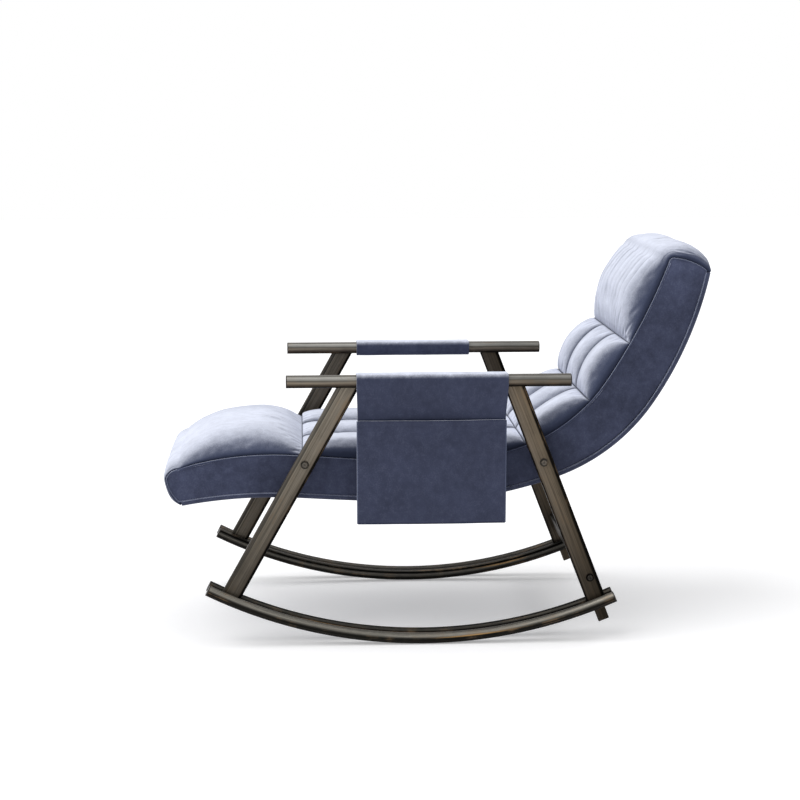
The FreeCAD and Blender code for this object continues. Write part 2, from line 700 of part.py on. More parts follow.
def top_foam():
    # A sheet over the webbing, with notches for the bracket plates.
    inner_half = cushion_half - cell("band_cloth")
    notch_depth = inner_half - rail_outer_x + cell("fit_gap")
    notches = []
    for side, sign in sides:
        for number, (y, z) in enumerate(seat_bolts):
            station, below = bracket_place(y, z)
            reach = cell("bracket_width") / 2 + 1
            notches.append(profile_body("%s_notch_%d" % (side, number),
                                        band(-rail_top, slope_room, station - reach, station + reach),
                                        "%f" % (2 * notch_depth), sign * inner_half))
    blank = profile_body("top_foam_sheet", band(-cell("top_foam"), 0), "%f" % (2 * inner_half))
    sub_part(cut("top_foam", blank, notches), "top_foam")


def base_foam():
    # The block under the webbing, with tunnels for the cross tubes and channels for the rails.
    half = rail_outer_x + cell("bracket_thickness") - cell("fit_gap")
    channel_inner = rail_outer_x - cell("rail_thickness") - cell("fit_gap")
    base = profile_body("base_foam_block", seat_outline(cell("band_cloth")), "%f" % (2 * half))
    tools = [profile_body("base_foam_over", band(-rail_top, slope_room), "%f" % (4 * half))]
    for side, sign in sides:
        outline = band(-rail_reach - cell("fit_gap"), slope_room,
                       rail_first - rail_end_room, rail_last + rail_end_room)
        tools.append(profile_body("base_foam_%s_channel" % side, outline, "%f" % (2 * (half - channel_inner)),
                                  sign * half))
    for name, station in cross_stations:
        tunnel = cylinder("base_foam_tunnel_" + name, "sizes.cross_tube + 2 * sizes.fit_gap", "%f" % (4 * half))
        tools.append(place(tunnel, (-2 * half, *cross_tube_point(station)), along_x))
    sub_part(cut("base_foam", base, tools), "base_foam")


def side_foams():
    cloth = cell("band_cloth")
    inner_half = cushion_half - cloth
    for side, sign in sides:
        name = side + "_side_foam"
        thickness = cell("side_foam") - cell("fit_gap")
        centre = sign * (inner_half - thickness / 2)
        board = profile_body(name + "_board", seat_outline(cloth), "%f" % thickness, centre)
        top = profile_body(name + "_over", band(-rail_top, slope_room), "%f" % (4 * thickness), centre)
        low, high = sorted((sign * (inner_half - 2 * thickness), sign * (inner_half + thickness)))
        sub_part(cut(name, board, [top] + boss_holes(name, low, high)), name)


def side_band(side, sign):
    name = side + "_side_band"
    cloth = profile_body(name + "_cloth", seat_outline(0.0), "sizes.band_cloth",
                         sign * (cushion_half - cell("band_cloth") / 2))
    low, high = sorted(sign * (cushion_half + step * cell("band_cloth")) for step in (-2, 1))
    sub_part(cut(name, cloth, boss_holes(name, low, high)), name)


def back_panel():
    # Cloth under and behind the seat, between the two side bands.
    lower = under_arcs(0.0)
    upper = reverse(under_arcs(cell("band_cloth")))
    outline = lower + [Part.LineSegment(lower[-1].EndPoint, upper[0].StartPoint)] + upper + [
        Part.LineSegment(upper[-1].EndPoint, lower[0].StartPoint)]
    sub_part(profile_body("back_panel", outline, "sizes.cushion_width - 2 * sizes.band_cloth"), "back_panel")


# Pads: lofts across the seat, with crowns, drawn-in sides and sewn channels
def front_stations():
    # The whole front line, from under the nose over the seat to the top of the head end.
    edges = [piece.toShape() for piece in front_outline(0.0)]
    return edges, edges[0].Length + edges[1].Length


front_edges, nose_length = front_stations()
front_length = sum(edge.Length for edge in front_edges)


def front_point(distance):
    # Point and outward normal at a distance along the front line.
    for edge in front_edges:
        if distance <= edge.Length or edge is front_edges[-1]:
            parameter = edge.getParameterByLength(min(distance, edge.Length))
            tangent = edge.tangentAt(parameter)
            return edge.valueAt(parameter), Vector(-tangent.y, tangent.x, 0)
        distance -= edge.Length


def pad_section(distance, crown, channel, lobes):
    # One cross-section: a flat underside, rounded shoulders and one or three lobes.
    point, normal = front_point(distance)
    root, shoulder = 6.0, cell("pad_shoulder")

    def spot(x, height):
        return Vector(x, point.x + normal.x * height, point.y + normal.y * height)

    shoulder_height = crown * (0.9 if lobes == 1 else 0.82)
    inner = cushion_half - shoulder
    right = [(cushion_half, 0.0), (cushion_half - shoulder * 0.3, shoulder_height * 0.68),
             (inner, shoulder_height)]
    if lobes == 1:
        top = [(inner, shoulder_height), (0.0, crown), (-inner, shoulder_height)]
        arcs = [right, top]
    else:
        groove = cell("lobe_spacing") / 2
        outer = [(inner, shoulder_height), ((inner + groove) / 2 + 8, crown), (groove, channel)]
        middle = [(groove, channel), (0.0, crown), (-groove, channel)]
        arcs = [right, outer, middle, [(-x, height) for x, height in reversed(outer)]]
    arcs.append([(-x, height) for x, height in reversed(right)])
    corners = [spot(side * cushion_half, height)
               for side, height in ((-1, 0), (-1, -root), (1, -root), (1, 0))]
    edges = [Part.makeLine(a, b) for a, b in zip(corners, corners[1:])]
    edges += [Part.Arc(*[spot(x, height) for x, height in arc]).toShape() for arc in arcs]
    return Part.Wire(edges)


def swell(share, power):
    return math.sin(math.pi * share) ** power


def pad_loft(name, sections, cutter):
    blank = doc.addObject("Part::Feature", name + "_blank")
    blank.Shape = Part.makeLoft(sections, True, False)
    place(blank, (0, 0, 0))
    sub_part(cut(name, blank, [cutter]), name)


def channelled_pad(name, first, last, crown, channel, seams, power, cutter):
    # Three lobes that swell between two cross seams.
    gap = cell("pad_clearance") / 2
    start, end = nose_length + first + gap, nose_length + last - gap
    sections = []
    for share in (0.0, 0.05, 0.18, 0.36, 0.64, 0.82, 0.95, 1.0):
        rise = swell(share, power)
        seam = seams[0] + (seams[1] - seams[0]) * share
        height = seam + (crown - seam) * rise
        dip = seam * 0.8 + (channel - seam * 0.8) * rise
        sections.append(pad_section(start + (end - start) * share, height, dip, 3))
    pad_loft(name, sections, cutter)


def plain_pad(name, heights, cutter):
    # One full-width bolster, as (distance along the front line, crown) pairs.
    pad_loft(name, [pad_section(distance, crown, 0, 1) for distance, crown in heights], cutter)


def pads():
    cutter = profile_body("pad_cutter", seat_outline(0.0, cell("pad_clearance")), "sizes.cushion_width + 20")
    gap = cell("pad_clearance") / 2
    seam = {name: nose_length + cell(name) for name in ("foot_seam", "head_seam")}
    nose = nose_length
    plain_pad("foot_bolster", [(2.0, 4), (nose * 0.45, 11), (nose * 0.85, 18), (nose + 40, 39),
                               (nose + 105, 50), (nose + 180, 49), (nose + 240, 39),
                               (seam["foot_seam"] - gap, 21)], cutter)
    channelled_pad("seat_pad", cell("foot_seam"), cell("seat_seam"), 47, 36, (21, 12), 0.4, cutter)
    channelled_pad("lower_back_pad", cell("seat_seam"), cell("back_seam"), 45, 30, (12, 9), 0.5, cutter)
    channelled_pad("upper_back_pad", cell("back_seam"), cell("head_seam"), 54, 36, (9, 8), 0.5, cutter)
    top, rear = nose + seam_length, front_length
    chin = seam["head_seam"]
    plain_pad("headrest", [(chin + gap, 8), (chin + 15, 22), (chin + 55, 42), (chin + 110, 53),
                           (chin + 160, 47), (top - 12, 36), (top + 4, 27), (top + 24, 28),
                           (top + 52, 30), (rear - 14, 23), (rear, 12)], cutter)


# Arm sleeves and the pocket
def sleeve_ring(name, sign, front, rear):
    grow = "2 * sizes.fit_gap"
    thick = "2 * sizes.sleeve_thickness"
    outer = box_tube(name + "_outside", "sizes.armrest_width + %s + %s" % (grow, thick),
                     "sizes.armrest_depth + %s + %s" % (grow, thick),
                     "sizes.armrest_corner + sizes.fit_gap + sizes.sleeve_thickness",
                     "%s + %s" % (front, rear), hollow=False)
    inner = box_tube(name + "_inside", "sizes.armrest_width + " + grow, "sizes.armrest_depth + " + grow,
                     "sizes.armrest_corner + sizes.fit_gap", "%s + %s" % (front, rear), hollow=False)
    ring = cut(name + "_ring", outer, [inner])
    return place(ring, (sign * side_x, -work_out(front), cell("armrest_height")), along_y)


sleeve_outer_x = side_x + cell("armrest_width") / 2 + cell("fit_gap") + cell("sleeve_thickness")


def pocket_lens(name, seam_margin, belly, low, high):
    # A shallow bulge in plan, padded upwards.
    front = -cell("left_sleeve_front") + seam_margin
    rear = cell("left_sleeve_rear") - seam_margin
    body = doc.addObject("PartDesign::Body", name)
    sketch = new_sketch(body, "XY_Plane")
    ends = Vector(0, front, 0), Vector(0, rear, 0)
    bulge = Part.Arc(ends[0], Vector(belly, (front + rear) / 2, 0), ends[1])
    add_outline(sketch, [bulge, Part.LineSegment(ends[1], ends[0])])
    pad(body, sketch, "%f" % (high - low))
    return place(body, (sleeve_outer_x, 0, low))


def leg_room(name, sign, line):
    # The space that a leg's top takes where a sleeve ends beside it.
    gap = " + 2 * sizes.fit_gap"
    room = box_tube(name, "sizes.leg_thickness" + gap, "sizes.leg_width" + gap, "sizes.leg_corner",
                    "%f" % line.top, hollow=False)
    return place(room, (sign * side_x, line.bolt_y, line.bolt_z), line.rotation())


def notched_sleeve(side, sign):
    # The ring round the armrest, cut back where it meets the tops of the legs.
    name = side + "_arm_sleeve"
    ring = sleeve_ring(name, sign, "sizes.%s_sleeve_front" % side, "sizes.%s_sleeve_rear" % side)
    rooms = [leg_room(name + "_front_room", sign, front_line), leg_room(name + "_rear_room", sign, rear_line)]
    return cut(name + "_notched", ring, rooms)


def sleeves():
    sub_part(notched_sleeve("right", -1), "right_arm_sleeve")
    ring = notched_sleeve("left", 1)
    ply = box("left_arm_sleeve_ply",
              (sleeve_outer_x - cell("pocket_cloth"), -cell("left_sleeve_front"), cell("pocket_bottom")),
              (sleeve_outer_x, cell("left_sleeve_rear"), cell("armrest_height")))
    sub_part(fuse("left_arm_sleeve_whole", [ring, ply]), "left_arm_sleeve")
    cloth, bottom, mouth = cell("pocket_cloth"), cell("pocket_bottom"), cell("pocket_mouth")
    belly = cell("pocket_belly")
    outside = pocket_lens("pocket_outside", 0.0, belly + cloth, bottom, mouth)
    inside = pocket_lens("pocket_inside", cell("pocket_seam"), belly, bottom + cloth, mouth + cloth)
    sub_part(cut("pocket", outside, [inside]), "pocket")


for side_name, side_sign in sides:
    armrest(side_name, side_sign)
    armrest_caps(side_name, side_sign)
    leg(side_name, side_sign, "front", front_line, seat_bolts[:1])
    leg(side_name, side_sign, "rear", rear_line, seat_bolts[1:] + [(stretcher_y, cell("stretcher_height"))])
    tilt_stop(side_name, side_sign)
    for lane_name, lane_direction in (("outer", side_sign), ("inner", -side_sign)):
        runner_bar(side_name, side_sign, lane_name, lane_direction)
    runner_caps(side_name, side_sign)
    seat_rail(side_name, side_sign)
    side_band(side_name, side_sign)
sub_part(group("front_leg_plugs", [front_leg_plug(*side) for side in sides]), "front_leg_plugs")
rear_stretcher()
fasteners()
for tube_name, tube_station in cross_stations:
    cross_tube(tube_name + "_cross_tube", tube_station)
brackets_and_spacers()
webbing()
top_foam()
base_foam()
side_foams()
back_panel()
pads()
sleeves()
doc.recompute()

failed = [item.Name for item in doc.Objects if "Invalid" in item.State or "Error" in item.State]
if failed:
    raise RuntimeError("objects that did not recompute: %s" % ", ".join(failed))
for item in sub_parts:
    if item.Shape.isNull() or not item.Shape.isValid():
        raise RuntimeError("bad shape: %s" % item.Label)
for item in sub_parts:
    item.Shape.exportStep(os.path.join("parts", item.Label + ".step"))
    box_now = item.Shape.BoundBox
    print("%-24s solids %2d  volume %9.1f cm3  Y %7.1f..%7.1f  Z %6.1f..%6.1f" % (
        item.Label, len(item.Shape.Solids), item.Shape.Volume / 1000, box_now.YMin, box_now.YMax,
        box_now.ZMin, box_now.ZMax))
print("%d sub-parts, front line %.1f mm, head end %.1f mm" % (
    len(sub_parts), front_length, front_length - nose_length - seam_length))
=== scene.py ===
import bisect
import math

import bpy
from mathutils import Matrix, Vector, noise


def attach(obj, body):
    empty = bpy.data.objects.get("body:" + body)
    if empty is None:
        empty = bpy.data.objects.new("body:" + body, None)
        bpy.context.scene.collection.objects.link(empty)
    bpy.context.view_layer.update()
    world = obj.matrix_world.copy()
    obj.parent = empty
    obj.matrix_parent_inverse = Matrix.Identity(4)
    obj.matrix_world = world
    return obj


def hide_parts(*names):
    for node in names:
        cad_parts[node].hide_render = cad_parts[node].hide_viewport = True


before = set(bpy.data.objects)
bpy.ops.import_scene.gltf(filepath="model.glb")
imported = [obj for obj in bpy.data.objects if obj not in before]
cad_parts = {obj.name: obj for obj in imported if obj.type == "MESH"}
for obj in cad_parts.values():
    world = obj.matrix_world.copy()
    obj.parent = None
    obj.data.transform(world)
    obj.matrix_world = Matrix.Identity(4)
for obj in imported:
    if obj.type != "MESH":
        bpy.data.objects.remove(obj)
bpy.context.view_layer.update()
print("frame loaded with", len(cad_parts), "nodes")


# Lines of the seat's side view, in millimetres, as in the part: (length, turn in degrees) runs
seatSide = {
    "seamStart": (-556.0, 399.6),
    "seamHeading": 20.6,
    "seamRuns": [(45.0, -7.9), (210.0, -16.0), (156.5, -1.4), (295.5, 12.0), (327.5, 48.9),
                 (305.5, 13.4)],
    "underStart": (-550.7, 317.2),
    "underHeading": 10.1,
    "underRuns": [(270.0, -13.7), (229.5, 1.3), (368.0, 22.1), (280.0, 36.4), (322.0, 22.3)],
    "noseSide": (-575.5, 345.0),
    "noseFront": (-586.5, 378.0),
    "noseCorner": (-578.5, 392.0),
    "headCorner": 11.0,
    "headTop": (608.0, 866.0),
    "half": 258.0,
}


def walkRuns(start, heading, runs, step=2.0):
    place, angle = Vector(start), math.radians(heading)
    points = [place.copy()]
    for length, turn in runs:
        count = max(2, round(length / step))
        bend = math.radians(turn) / count
        for _ in range(count):
            middle = angle + bend / 2
            place = place + Vector((math.cos(middle), math.sin(middle))) * (length / count)
            angle += bend
            points.append(place.copy())
    return points


def arcThrough(first, middle, last, step=1.5):
    # points on the circle through three places, from the first to the last
    a, b, c = Vector(first), Vector(middle), Vector(last)
    area = 2 * (a.x * (b.y - c.y) + b.x * (c.y - a.y) + c.x * (a.y - b.y))
    squares = [p.length_squared for p in (a, b, c)]
    centre = Vector((
        (squares[0] * (b.y - c.y) + squares[1] * (c.y - a.y) + squares[2] * (a.y - b.y)) / area,
        (squares[0] * (c.x - b.x) + squares[1] * (a.x - c.x) + squares[2] * (b.x - a.x)) / area))
    turn = -math.copysign(1, area)
    angles = [math.atan2(p.y - centre.y, p.x - centre.x) for p in (a, c)]
    sweep = (angles[0] - angles[1]) * turn % (2 * math.pi)
    radius = (a - centre).length
    count = max(3, round(radius * sweep / step))
    steps = [angles[0] - turn * sweep * i / count for i in range(count + 1)]
    return [centre + Vector((math.cos(t), math.sin(t))) * radius for t in steps]


class Line:
    # a drawn line that is read by the distance along it
    def __init__(self, points):
        self.points = [points[0]] + [b for a, b in zip(points, points[1:]) if (b - a).length > 1e-6]
        self.marks = [0.0]
        for a, b in zip(self.points, self.points[1:]):
            self.marks.append(self.marks[-1] + (b - a).length)
        self.length = self.marks[-1]

    def at(self, distance):
        distance = min(max(distance, 0.0), self.length)
        index = min(bisect.bisect_right(self.marks, distance), len(self.points) - 1) - 1
        span = self.marks[index + 1] - self.marks[index]
        return self.points[index].lerp(self.points[index + 1], (distance - self.marks[index]) / span)

    def left(self, distance, reach=6.0):
        # the direction to the left of the line, smoothed over a short stretch
        step = self.at(distance + reach) - self.at(distance - reach)
        return Vector((-step.y, step.x)).normalized()

    def offset(self, distance, height):
        return self.at(distance) + self.left(distance) * height


seamLine = Line(walkRuns(seatSide["seamStart"], seatSide["seamHeading"], seatSide["seamRuns"]))
underLine = Line(walkRuns(seatSide["underStart"], seatSide["underHeading"], seatSide["underRuns"]))
tip, corner = seamLine.points[-1], seatSide["headCorner"]
shoulder = tip + Vector((corner * 1.3, corner))
nosePoints = arcThrough(seatSide["underStart"], seatSide["noseSide"], seatSide["noseFront"])
nosePoints += arcThrough(seatSide["noseFront"], seatSide["noseCorner"], seatSide["seamStart"])
headPoints = arcThrough(tip, tip + Vector((corner * 0.35, corner * 0.85)), shoulder)
headPoints += arcThrough(shoulder, seatSide["headTop"], underLine.points[-1])
noseLine, headLine = Line(nosePoints), Line(headPoints)
frontLine = Line(nosePoints + seamLine.points + headPoints)
noseLength = noseLine.length


def inPlace(x, point):
    return Vector((x, point.x, point.y)) / 1000


def keyed(pairs, at):
    # a smooth curve through (place, value) pairs that never overshoots them
    if at <= pairs[0][0]:
        return pairs[0][1]
    if at >= pairs[-1][0]:
        return pairs[-1][1]
    index = next(i for i in range(1, len(pairs)) if at <= pairs[i][0]) - 1
    slopes = [(b[1] - a[1]) / (b[0] - a[0]) for a, b in zip(pairs, pairs[1:])]

    def tangent(i):
        if i == 0 or i == len(slopes):
            return slopes[min(i, len(slopes) - 1)]
        before, after = slopes[i - 1], slopes[i]
        return 0.0 if before * after <= 0 else 2 * before * after / (before + after)

    (x0, y0), (x1, y1) = pairs[index], pairs[index + 1]
    span = x1 - x0
    t = (at - x0) / span
    return ((2 * t ** 3 - 3 * t ** 2 + 1) * y0 + (t ** 3 - 2 * t ** 2 + t) * span * tangent(index)
            + (3 * t ** 2 - 2 * t ** 3) * y1 + (t ** 3 - t ** 2) * span * tangent(index + 1))


def ripple(x, y, seed=0.0):
    return noise.noise(Vector((x, y, seed)))


# Ways of working that every piece shares
def select(piece):
    # the only one selected, and the active one
    bpy.ops.object.select_all(action="DESELECT")
    piece.select_set(True)
    bpy.context.view_layer.objects.active = piece


def applyModifier(piece, kind, **settings):
    select(piece)
    modifier = piece.modifiers.new(kind.lower(), kind)
    for name, value in settings.items():
        setattr(modifier, name, value)
    bpy.ops.object.modifier_apply(modifier=modifier.name)


def smooth(piece, degrees=60):
    select(piece)
    bpy.ops.object.shade_smooth_by_angle(angle=math.radians(degrees))


def layGrid(name, columns, rows, place):
    # a grid primitive whose points are laid out by place(column, row)
    bpy.ops.mesh.primitive_grid_add(x_subdivisions=columns - 1, y_subdivisions=rows - 1, size=1)
    piece = bpy.context.object
    piece.name = piece.data.name = name
    for index, vertex in enumerate(piece.data.vertices):
        row, column = divmod(index, columns)
        vertex.co = place(column, row)
    return piece


def markGrid(piece, label, columns, valueAt):
    # a value for each point of a grid by its column and row, for materials and modifiers
    for index, mark in enumerate(piece.data.attributes.new(label, "FLOAT", "POINT").data):
        row, column = divmod(index, columns)
        mark.value = valueAt(column, row)


def mend(piece, merge=0.0, fill=False, outward=True):
    # merges points nearer than a distance, fills open sides and turns the faces outwards
    select(piece)
    bpy.ops.object.mode_set(mode="EDIT")
    bpy.ops.mesh.select_all(action="SELECT")
    if merge:
        bpy.ops.mesh.remove_doubles(threshold=merge)
    if fill:
        bpy.ops.mesh.select_all(action="DESELECT")
        bpy.ops.mesh.select_non_manifold()
        bpy.ops.mesh.fill_holes(sides=0)
        bpy.ops.mesh.select_all(action="SELECT")
    if outward:
        bpy.ops.mesh.normals_make_consistent(inside=False)
    bpy.ops.object.mode_set(mode="OBJECT")


def closeUp(piece):
    # the meeting edges of a rolled-up grid and its open sides
    mend(piece, merge=0.00002, fill=True)


def piping(name, points, radius, closed):
    # a round cord of cloth along points, all in metres
    bpy.ops.curve.primitive_nurbs_path_add()
    cord = bpy.context.object
    cord.name = name
    curve = cord.data
    curve.splines.clear()
    spline = curve.splines.new("POLY")
    spline.points.add(len(points) - 1)
    for target, point in zip(spline.points, points):
        target.co = (*point, 1)
    spline.use_cyclic_u = closed
    curve.bevel_depth = radius
    curve.bevel_resolution = 2
    curve.use_fill_caps = not closed
    bpy.ops.object.convert(target="MESH")
    cord = bpy.context.object
    cord.data.name = name
    smooth(cord)
    return cord


def addPiece(piece, material):
    piece.data.materials.clear()
    piece.data.materials.append(material)
    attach(piece, "root")


# Shader maths
class Link:
    # one output in a node tree, with the sums that shaders need
    def __init__(self, tree, socket):
        self.tree, self.socket = tree, socket

    def node(self, kind, settings=None, sockets=None, output=0):
        made = self.tree.nodes.new(kind)
        for name, value in (settings or {}).items():
            if name == "stops":
                for index, (position, colour) in enumerate(value):
                    ramp = made.color_ramp.elements
                    stop = ramp[index] if index < 2 else ramp.new(position)
                    stop.position, stop.color = position, (*colour, 1)
            else:
                setattr(made, name, value)
        for name, value in (sockets or {}).items():
            if isinstance(value, Link):
                self.tree.links.new(value.socket, made.inputs[name])
            else:
                made.inputs[name].default_value = value
        return Link(self.tree, made.outputs[output])

    def maths(self, operation, first, second=0.0, clamp=False):
        settings = {"operation": operation, "use_clamp": clamp}
        return self.node("ShaderNodeMath", settings, {0: first, 1: second})

    def __abs__(self):
        return self.maths("ABSOLUTE", self)

    def between(self, low, high):
        # 0 at low, 1 at high, with soft ends
        return self.node("ShaderNodeMapRange", {"interpolation_type": "SMOOTHSTEP"},
                         {"Value": self, "From Min": low, "From Max": high})

    def blend(self, first, second):
        # from the first colour to the second
        first, second = [c if isinstance(c, Link) else (*c, 1) for c in (first, second)]
        return self.node("ShaderNodeMix", {"data_type": "RGBA"}, {0: self, 6: first, 7: second}, 2)

    def shaded(self, colour):
        # this value times a colour
        return self.node("ShaderNodeMix", {"data_type": "RGBA", "blend_type": "MULTIPLY"},
                         {0: 1.0, 6: colour, 7: self}, 2)

    def ramp(self, *stops):
        return self.node("ShaderNodeValToRGB", {"stops": stops}, {0: self})

    def turned(self, centre=(0, 0, 0), degrees=(0, 0, 0), scale=(1, 1, 1)):
        # coordinates moved to a centre, then turned, then stretched
        moved = self.node("ShaderNodeVectorMath", {"operation": "SUBTRACT"}, {0: self, 1: centre})
        rotation = tuple(math.radians(d) for d in degrees)
        sockets = {"Vector": moved, "Rotation": rotation, "Scale": scale}
        return moved.node("ShaderNodeMapping", None, sockets)

    def noise(self, scale, detail=2.0, rough=0.5):
        return self.node("ShaderNodeTexNoise", None,
                         {"Vector": self, "Scale": scale, "Detail": detail, "Roughness": rough})

    def axis(self, name):
        return self.node("ShaderNodeSeparateXYZ", None, {0: self}, name)

    def toward(self, direction):
        # how far a normal faces a direction
        return self.node("ShaderNodeVectorMath", {"operation": "DOT_PRODUCT"},
                         {0: self, 1: direction}, "Value")

    def bump(self, strength, distance):
        return self.node("ShaderNodeBump", None,
                         {"Height": self, "Strength": strength, "Distance": distance})


# sums of links with links or numbers, on either side of the sign
for sign, operation in (("add", "ADD"), ("sub", "SUBTRACT"), ("mul", "MULTIPLY"),
                        ("truediv", "DIVIDE"), ("pow", "POWER")):
    setattr(Link, "__" + sign + "__", lambda self, other, kind=operation: self.maths(kind, self, other))
    setattr(Link, "__r" + sign + "__", lambda self, other, kind=operation: self.maths(kind, other, self))


def newMaterial(name):
    # a material, its shader and the start of its node tree
    material = bpy.data.materials.new(name)
    material.use_nodes = True
    tree = material.node_tree
    shader = tree.nodes["Principled BSDF"]
    return material, shader, Link(tree, None)


def feed(shader, tree, **inputs):
    # sets the shader's sockets, named with _ for a space, to values or links
    for name, value in inputs.items():
        target = shader.inputs[name.replace("_", " ")]
        if isinstance(value, Link):
            tree.links.new(value.socket, target)
        else:
            target.default_value = value


velvetLook = {
    "light": (0.0, -0.45, 0.89),     # painted light: faces turned this way get the pale, lit tone
    "lightReach": (-0.20, 0.70),
    "blotchScale": 14.0,
    "patchScale": 60.0,
    "speckleScale": 330.0,
    "grainScale": 900.0,
    "toneShares": (1.3, 0.8, 0.35),  # blotch, patch and speckle in the tone
    "ruffleShares": (1.1, 0.7),      # speckle and patch where the painted shade turns into the painted light
    "ruffleReach": (0.12, 3.5),      # ruffle everywhere, and more of it at the turn
    "heightShares": (0.6, 0.4, 0.5),  # grain, speckle and patch in the height of the pile
    "bump": (0.35, 0.0006),
    "rough": (0.86, 0.2),
    "specular": 0.12,
    "seamShadeTone": (0.018, 0.024, 0.050),
    "seamDepth": 0.8,
    "sheen": 0.22,
    "sheenRough": 0.45,
    "sheenTint": (0.80, 0.84, 1.0, 1),
}


def velvet(name, dark, pale, mottle=0.3, pile=0.12, fall=2.2, ends=None):
    # painted light and shade: pale where the cloth faces up or forward, dark where it turns to the side
    look = velvetLook
    material, shader, start = newMaterial(name)
    place = start.node("ShaderNodeTexCoord", output="Object")
    facing = start.node("ShaderNodeNewGeometry", output="Normal")
    blotch = place.noise(look["blotchScale"], 4.0, 0.62)
    patch = place.noise(look["patchScale"], 3.0, 0.6)
    speckle = place.noise(look["speckleScale"], 2.0, 0.6)
    grain = place.noise(look["grainScale"], 2.0, 0.7)
    # painted light: pale facing up and towards the light, dark where the cloth turns sideways
    sideways = start.maths("MINIMUM", abs(facing.axis("X")), 1.0)
    lit = (1.0 - sideways) ** fall * facing.toward(look["light"]).between(*look["lightReach"])
    shares, reach = look["ruffleShares"], look["ruffleReach"]
    ruffle = (speckle - 0.5) * shares[0] + (patch - 0.5) * shares[1]
    lit = start.maths("ADD", lit, ruffle * mottle * (reach[0] + reach[1] * lit * (1.0 - lit)), True)
    shares = look["toneShares"]
    marks = (blotch - 0.5) * shares[0] + (patch - 0.5) * shares[1] + (speckle - 0.5) * shares[2]
    tone = 1.0 + marks * mottle + (grain - 0.5) * pile
    if ends:
        # painted light: a little lighter at the head and at the foot, where more light falls on the side
        # bands
        head = place.axis("Z").between(*ends["head"])
        foot = (0.0 - place.axis("Y")).between(*ends["foot"])
        tone = tone * (1.0 + head * ends["headLightGain"] + foot * ends["footLightGain"])
    # painted shade: seams, channels, pleats and the pocket's edges darkened by their seam mark
    seam = start.node("ShaderNodeAttribute", {"attribute_name": "seam"}, output="Fac")
    colour = (seam * look["seamDepth"]).blend(tone.shaded(lit.blend(dark, pale)), look["seamShadeTone"])
    shares = look["heightShares"]
    height = grain * shares[0] + speckle * shares[1] + patch * shares[2]
    feed(shader, start.tree, Base_Color=colour, Normal=height.bump(*look["bump"]),
         Roughness=look["rough"][0] + (grain - 0.5) * look["rough"][1],
         Specular_IOR_Level=look["specular"], Sheen_Weight=look["sheen"],
         Sheen_Roughness=look["sheenRough"], Sheen_Tint=look["sheenTint"])
    return material


bronzeLook = {
    "metallic": 0.4,
    "specular": 0.12,
    "edgeTint": (0.35, 0.31, 0.27, 1),
    "drawnOut": 0.012,               # scale of the brushed grain along the bar
    "fineScale": 1500.0,
    "broadScale": 300.0,
    "wearScale": 22.0,
    "tone": (0.50, 0.6, 0.42, 0.34),  # even tone, then fine grain, broad grain and wear in it
    "wander": 0.03,                  # how far the tones stray across the bar
    "streak": (0.22, 0.150, 0.090),
    "streakReach": (0.27, 0.40),
    "streakShare": 0.5,
    "glintGold": (0.62, 0.36, 0.13),
    "glintScale": 190.0,
    "glintReach": (0.58, 0.70),
    "glintShare": 0.7,
    "seatFace": (0.284, 0.297),      # from the centre plane to the inner and the outer face
    "bump": (0.12, 0.0002),
}


def bronze(name, along, stops, profile, centre=(0, 0, 0), degrees=(0, 0, 0), polar=None,
           gloss=0.36, legShade=None, glint=None, rearFade=None):
    # brushed bronze: grain along one axis (0 to 2), and painted highlights and shade across the bar from the
    # stops
    look = bronzeLook
    material, shader, start = newMaterial(name)
    place = start.node("ShaderNodeTexCoord", output="Object")
    if polar:
        # for bent tubes: arc length and distance from the centre of the bend, in the side plane
        y, z = place.axis("Y") - polar[0], place.axis("Z") - polar[1]
        reach = start.maths("SQRT", y * y + z * z)
        turn = start.maths("ARCTAN2", y, 0.0 - z)
        own = start.node("ShaderNodeCombineXYZ", None,
                         {0: place.axis("X"), 1: turn * polar[2], 2: reach - polar[2]})
    else:
        own = place.turned(centre, degrees)
    stretch = [1.0, 1.0, 1.0]
    stretch[along] = look["drawnOut"]
    brushed = own.turned(scale=tuple(stretch))
    fine = brushed.noise(look["fineScale"], 3.0, 0.7)
    broad = brushed.noise(look["broadScale"], 3.0, 0.6)
    wear = own.noise(look["wearScale"], 4.0, 0.6)
    axis, halfBar = profile
    across = own.axis(axis) / (2 * halfBar) + 0.5
    even, fineShare, broadShare, wearShare = look["tone"]
    tone = even + (fine - 0.5) * fineShare + broad.between(0.3, 0.7) * broadShare
    tone = tone + (wear - 0.5) * wearShare
    colour = tone.shaded((across + (broad - 0.5) * look["wander"]).ramp(*stops))
    streaks = (broad * wear).between(*look["streakReach"]) * look["streakShare"]
    colour = streaks.blend(colour, tone.shaded((*look["streak"], 1)))
    if glint:
        # painted glint: gold light caught in patches along a narrow strip
        strip = across.between(glint[0], glint[1]) * (1.0 - across.between(glint[2], glint[3]))
        flat = brushed.turned(scale=(1, 1, 0))
        patch = flat.noise(look["glintScale"], 1.0).between(*look["glintReach"])
        colour = (strip * patch * look["glintShare"]).blend(colour, look["glintGold"])
    if legShade:
        # painted shade: darker towards the floor, and one dim tone on the side that faces the seat
        atFloor, fullHeight, seatSideShade = legShade
        outer = atFloor + place.axis("Z").between(0.0, fullHeight) * (1.0 - atFloor)
        side = abs(place.axis("X")).between(*look["seatFace"])
        colour = (seatSideShade + side * (outer - seatSideShade)).shaded(colour)
    if rearFade:
        # dimmer towards the rear end, where the headrest shades it
        colour = (1.0 - place.axis("Y").between(rearFade[0], rearFade[1]) * rearFade[2]).shaded(colour)
    feed(shader, start.tree, Base_Color=colour, Metallic=look["metallic"],
         Roughness=gloss + (fine - 0.5) * 0.22 + (wear - 0.5) * 0.1, Normal=fine.bump(*look["bump"]),
         Specular_IOR_Level=look["specular"], Specular_Tint=look["edgeTint"])
    return material


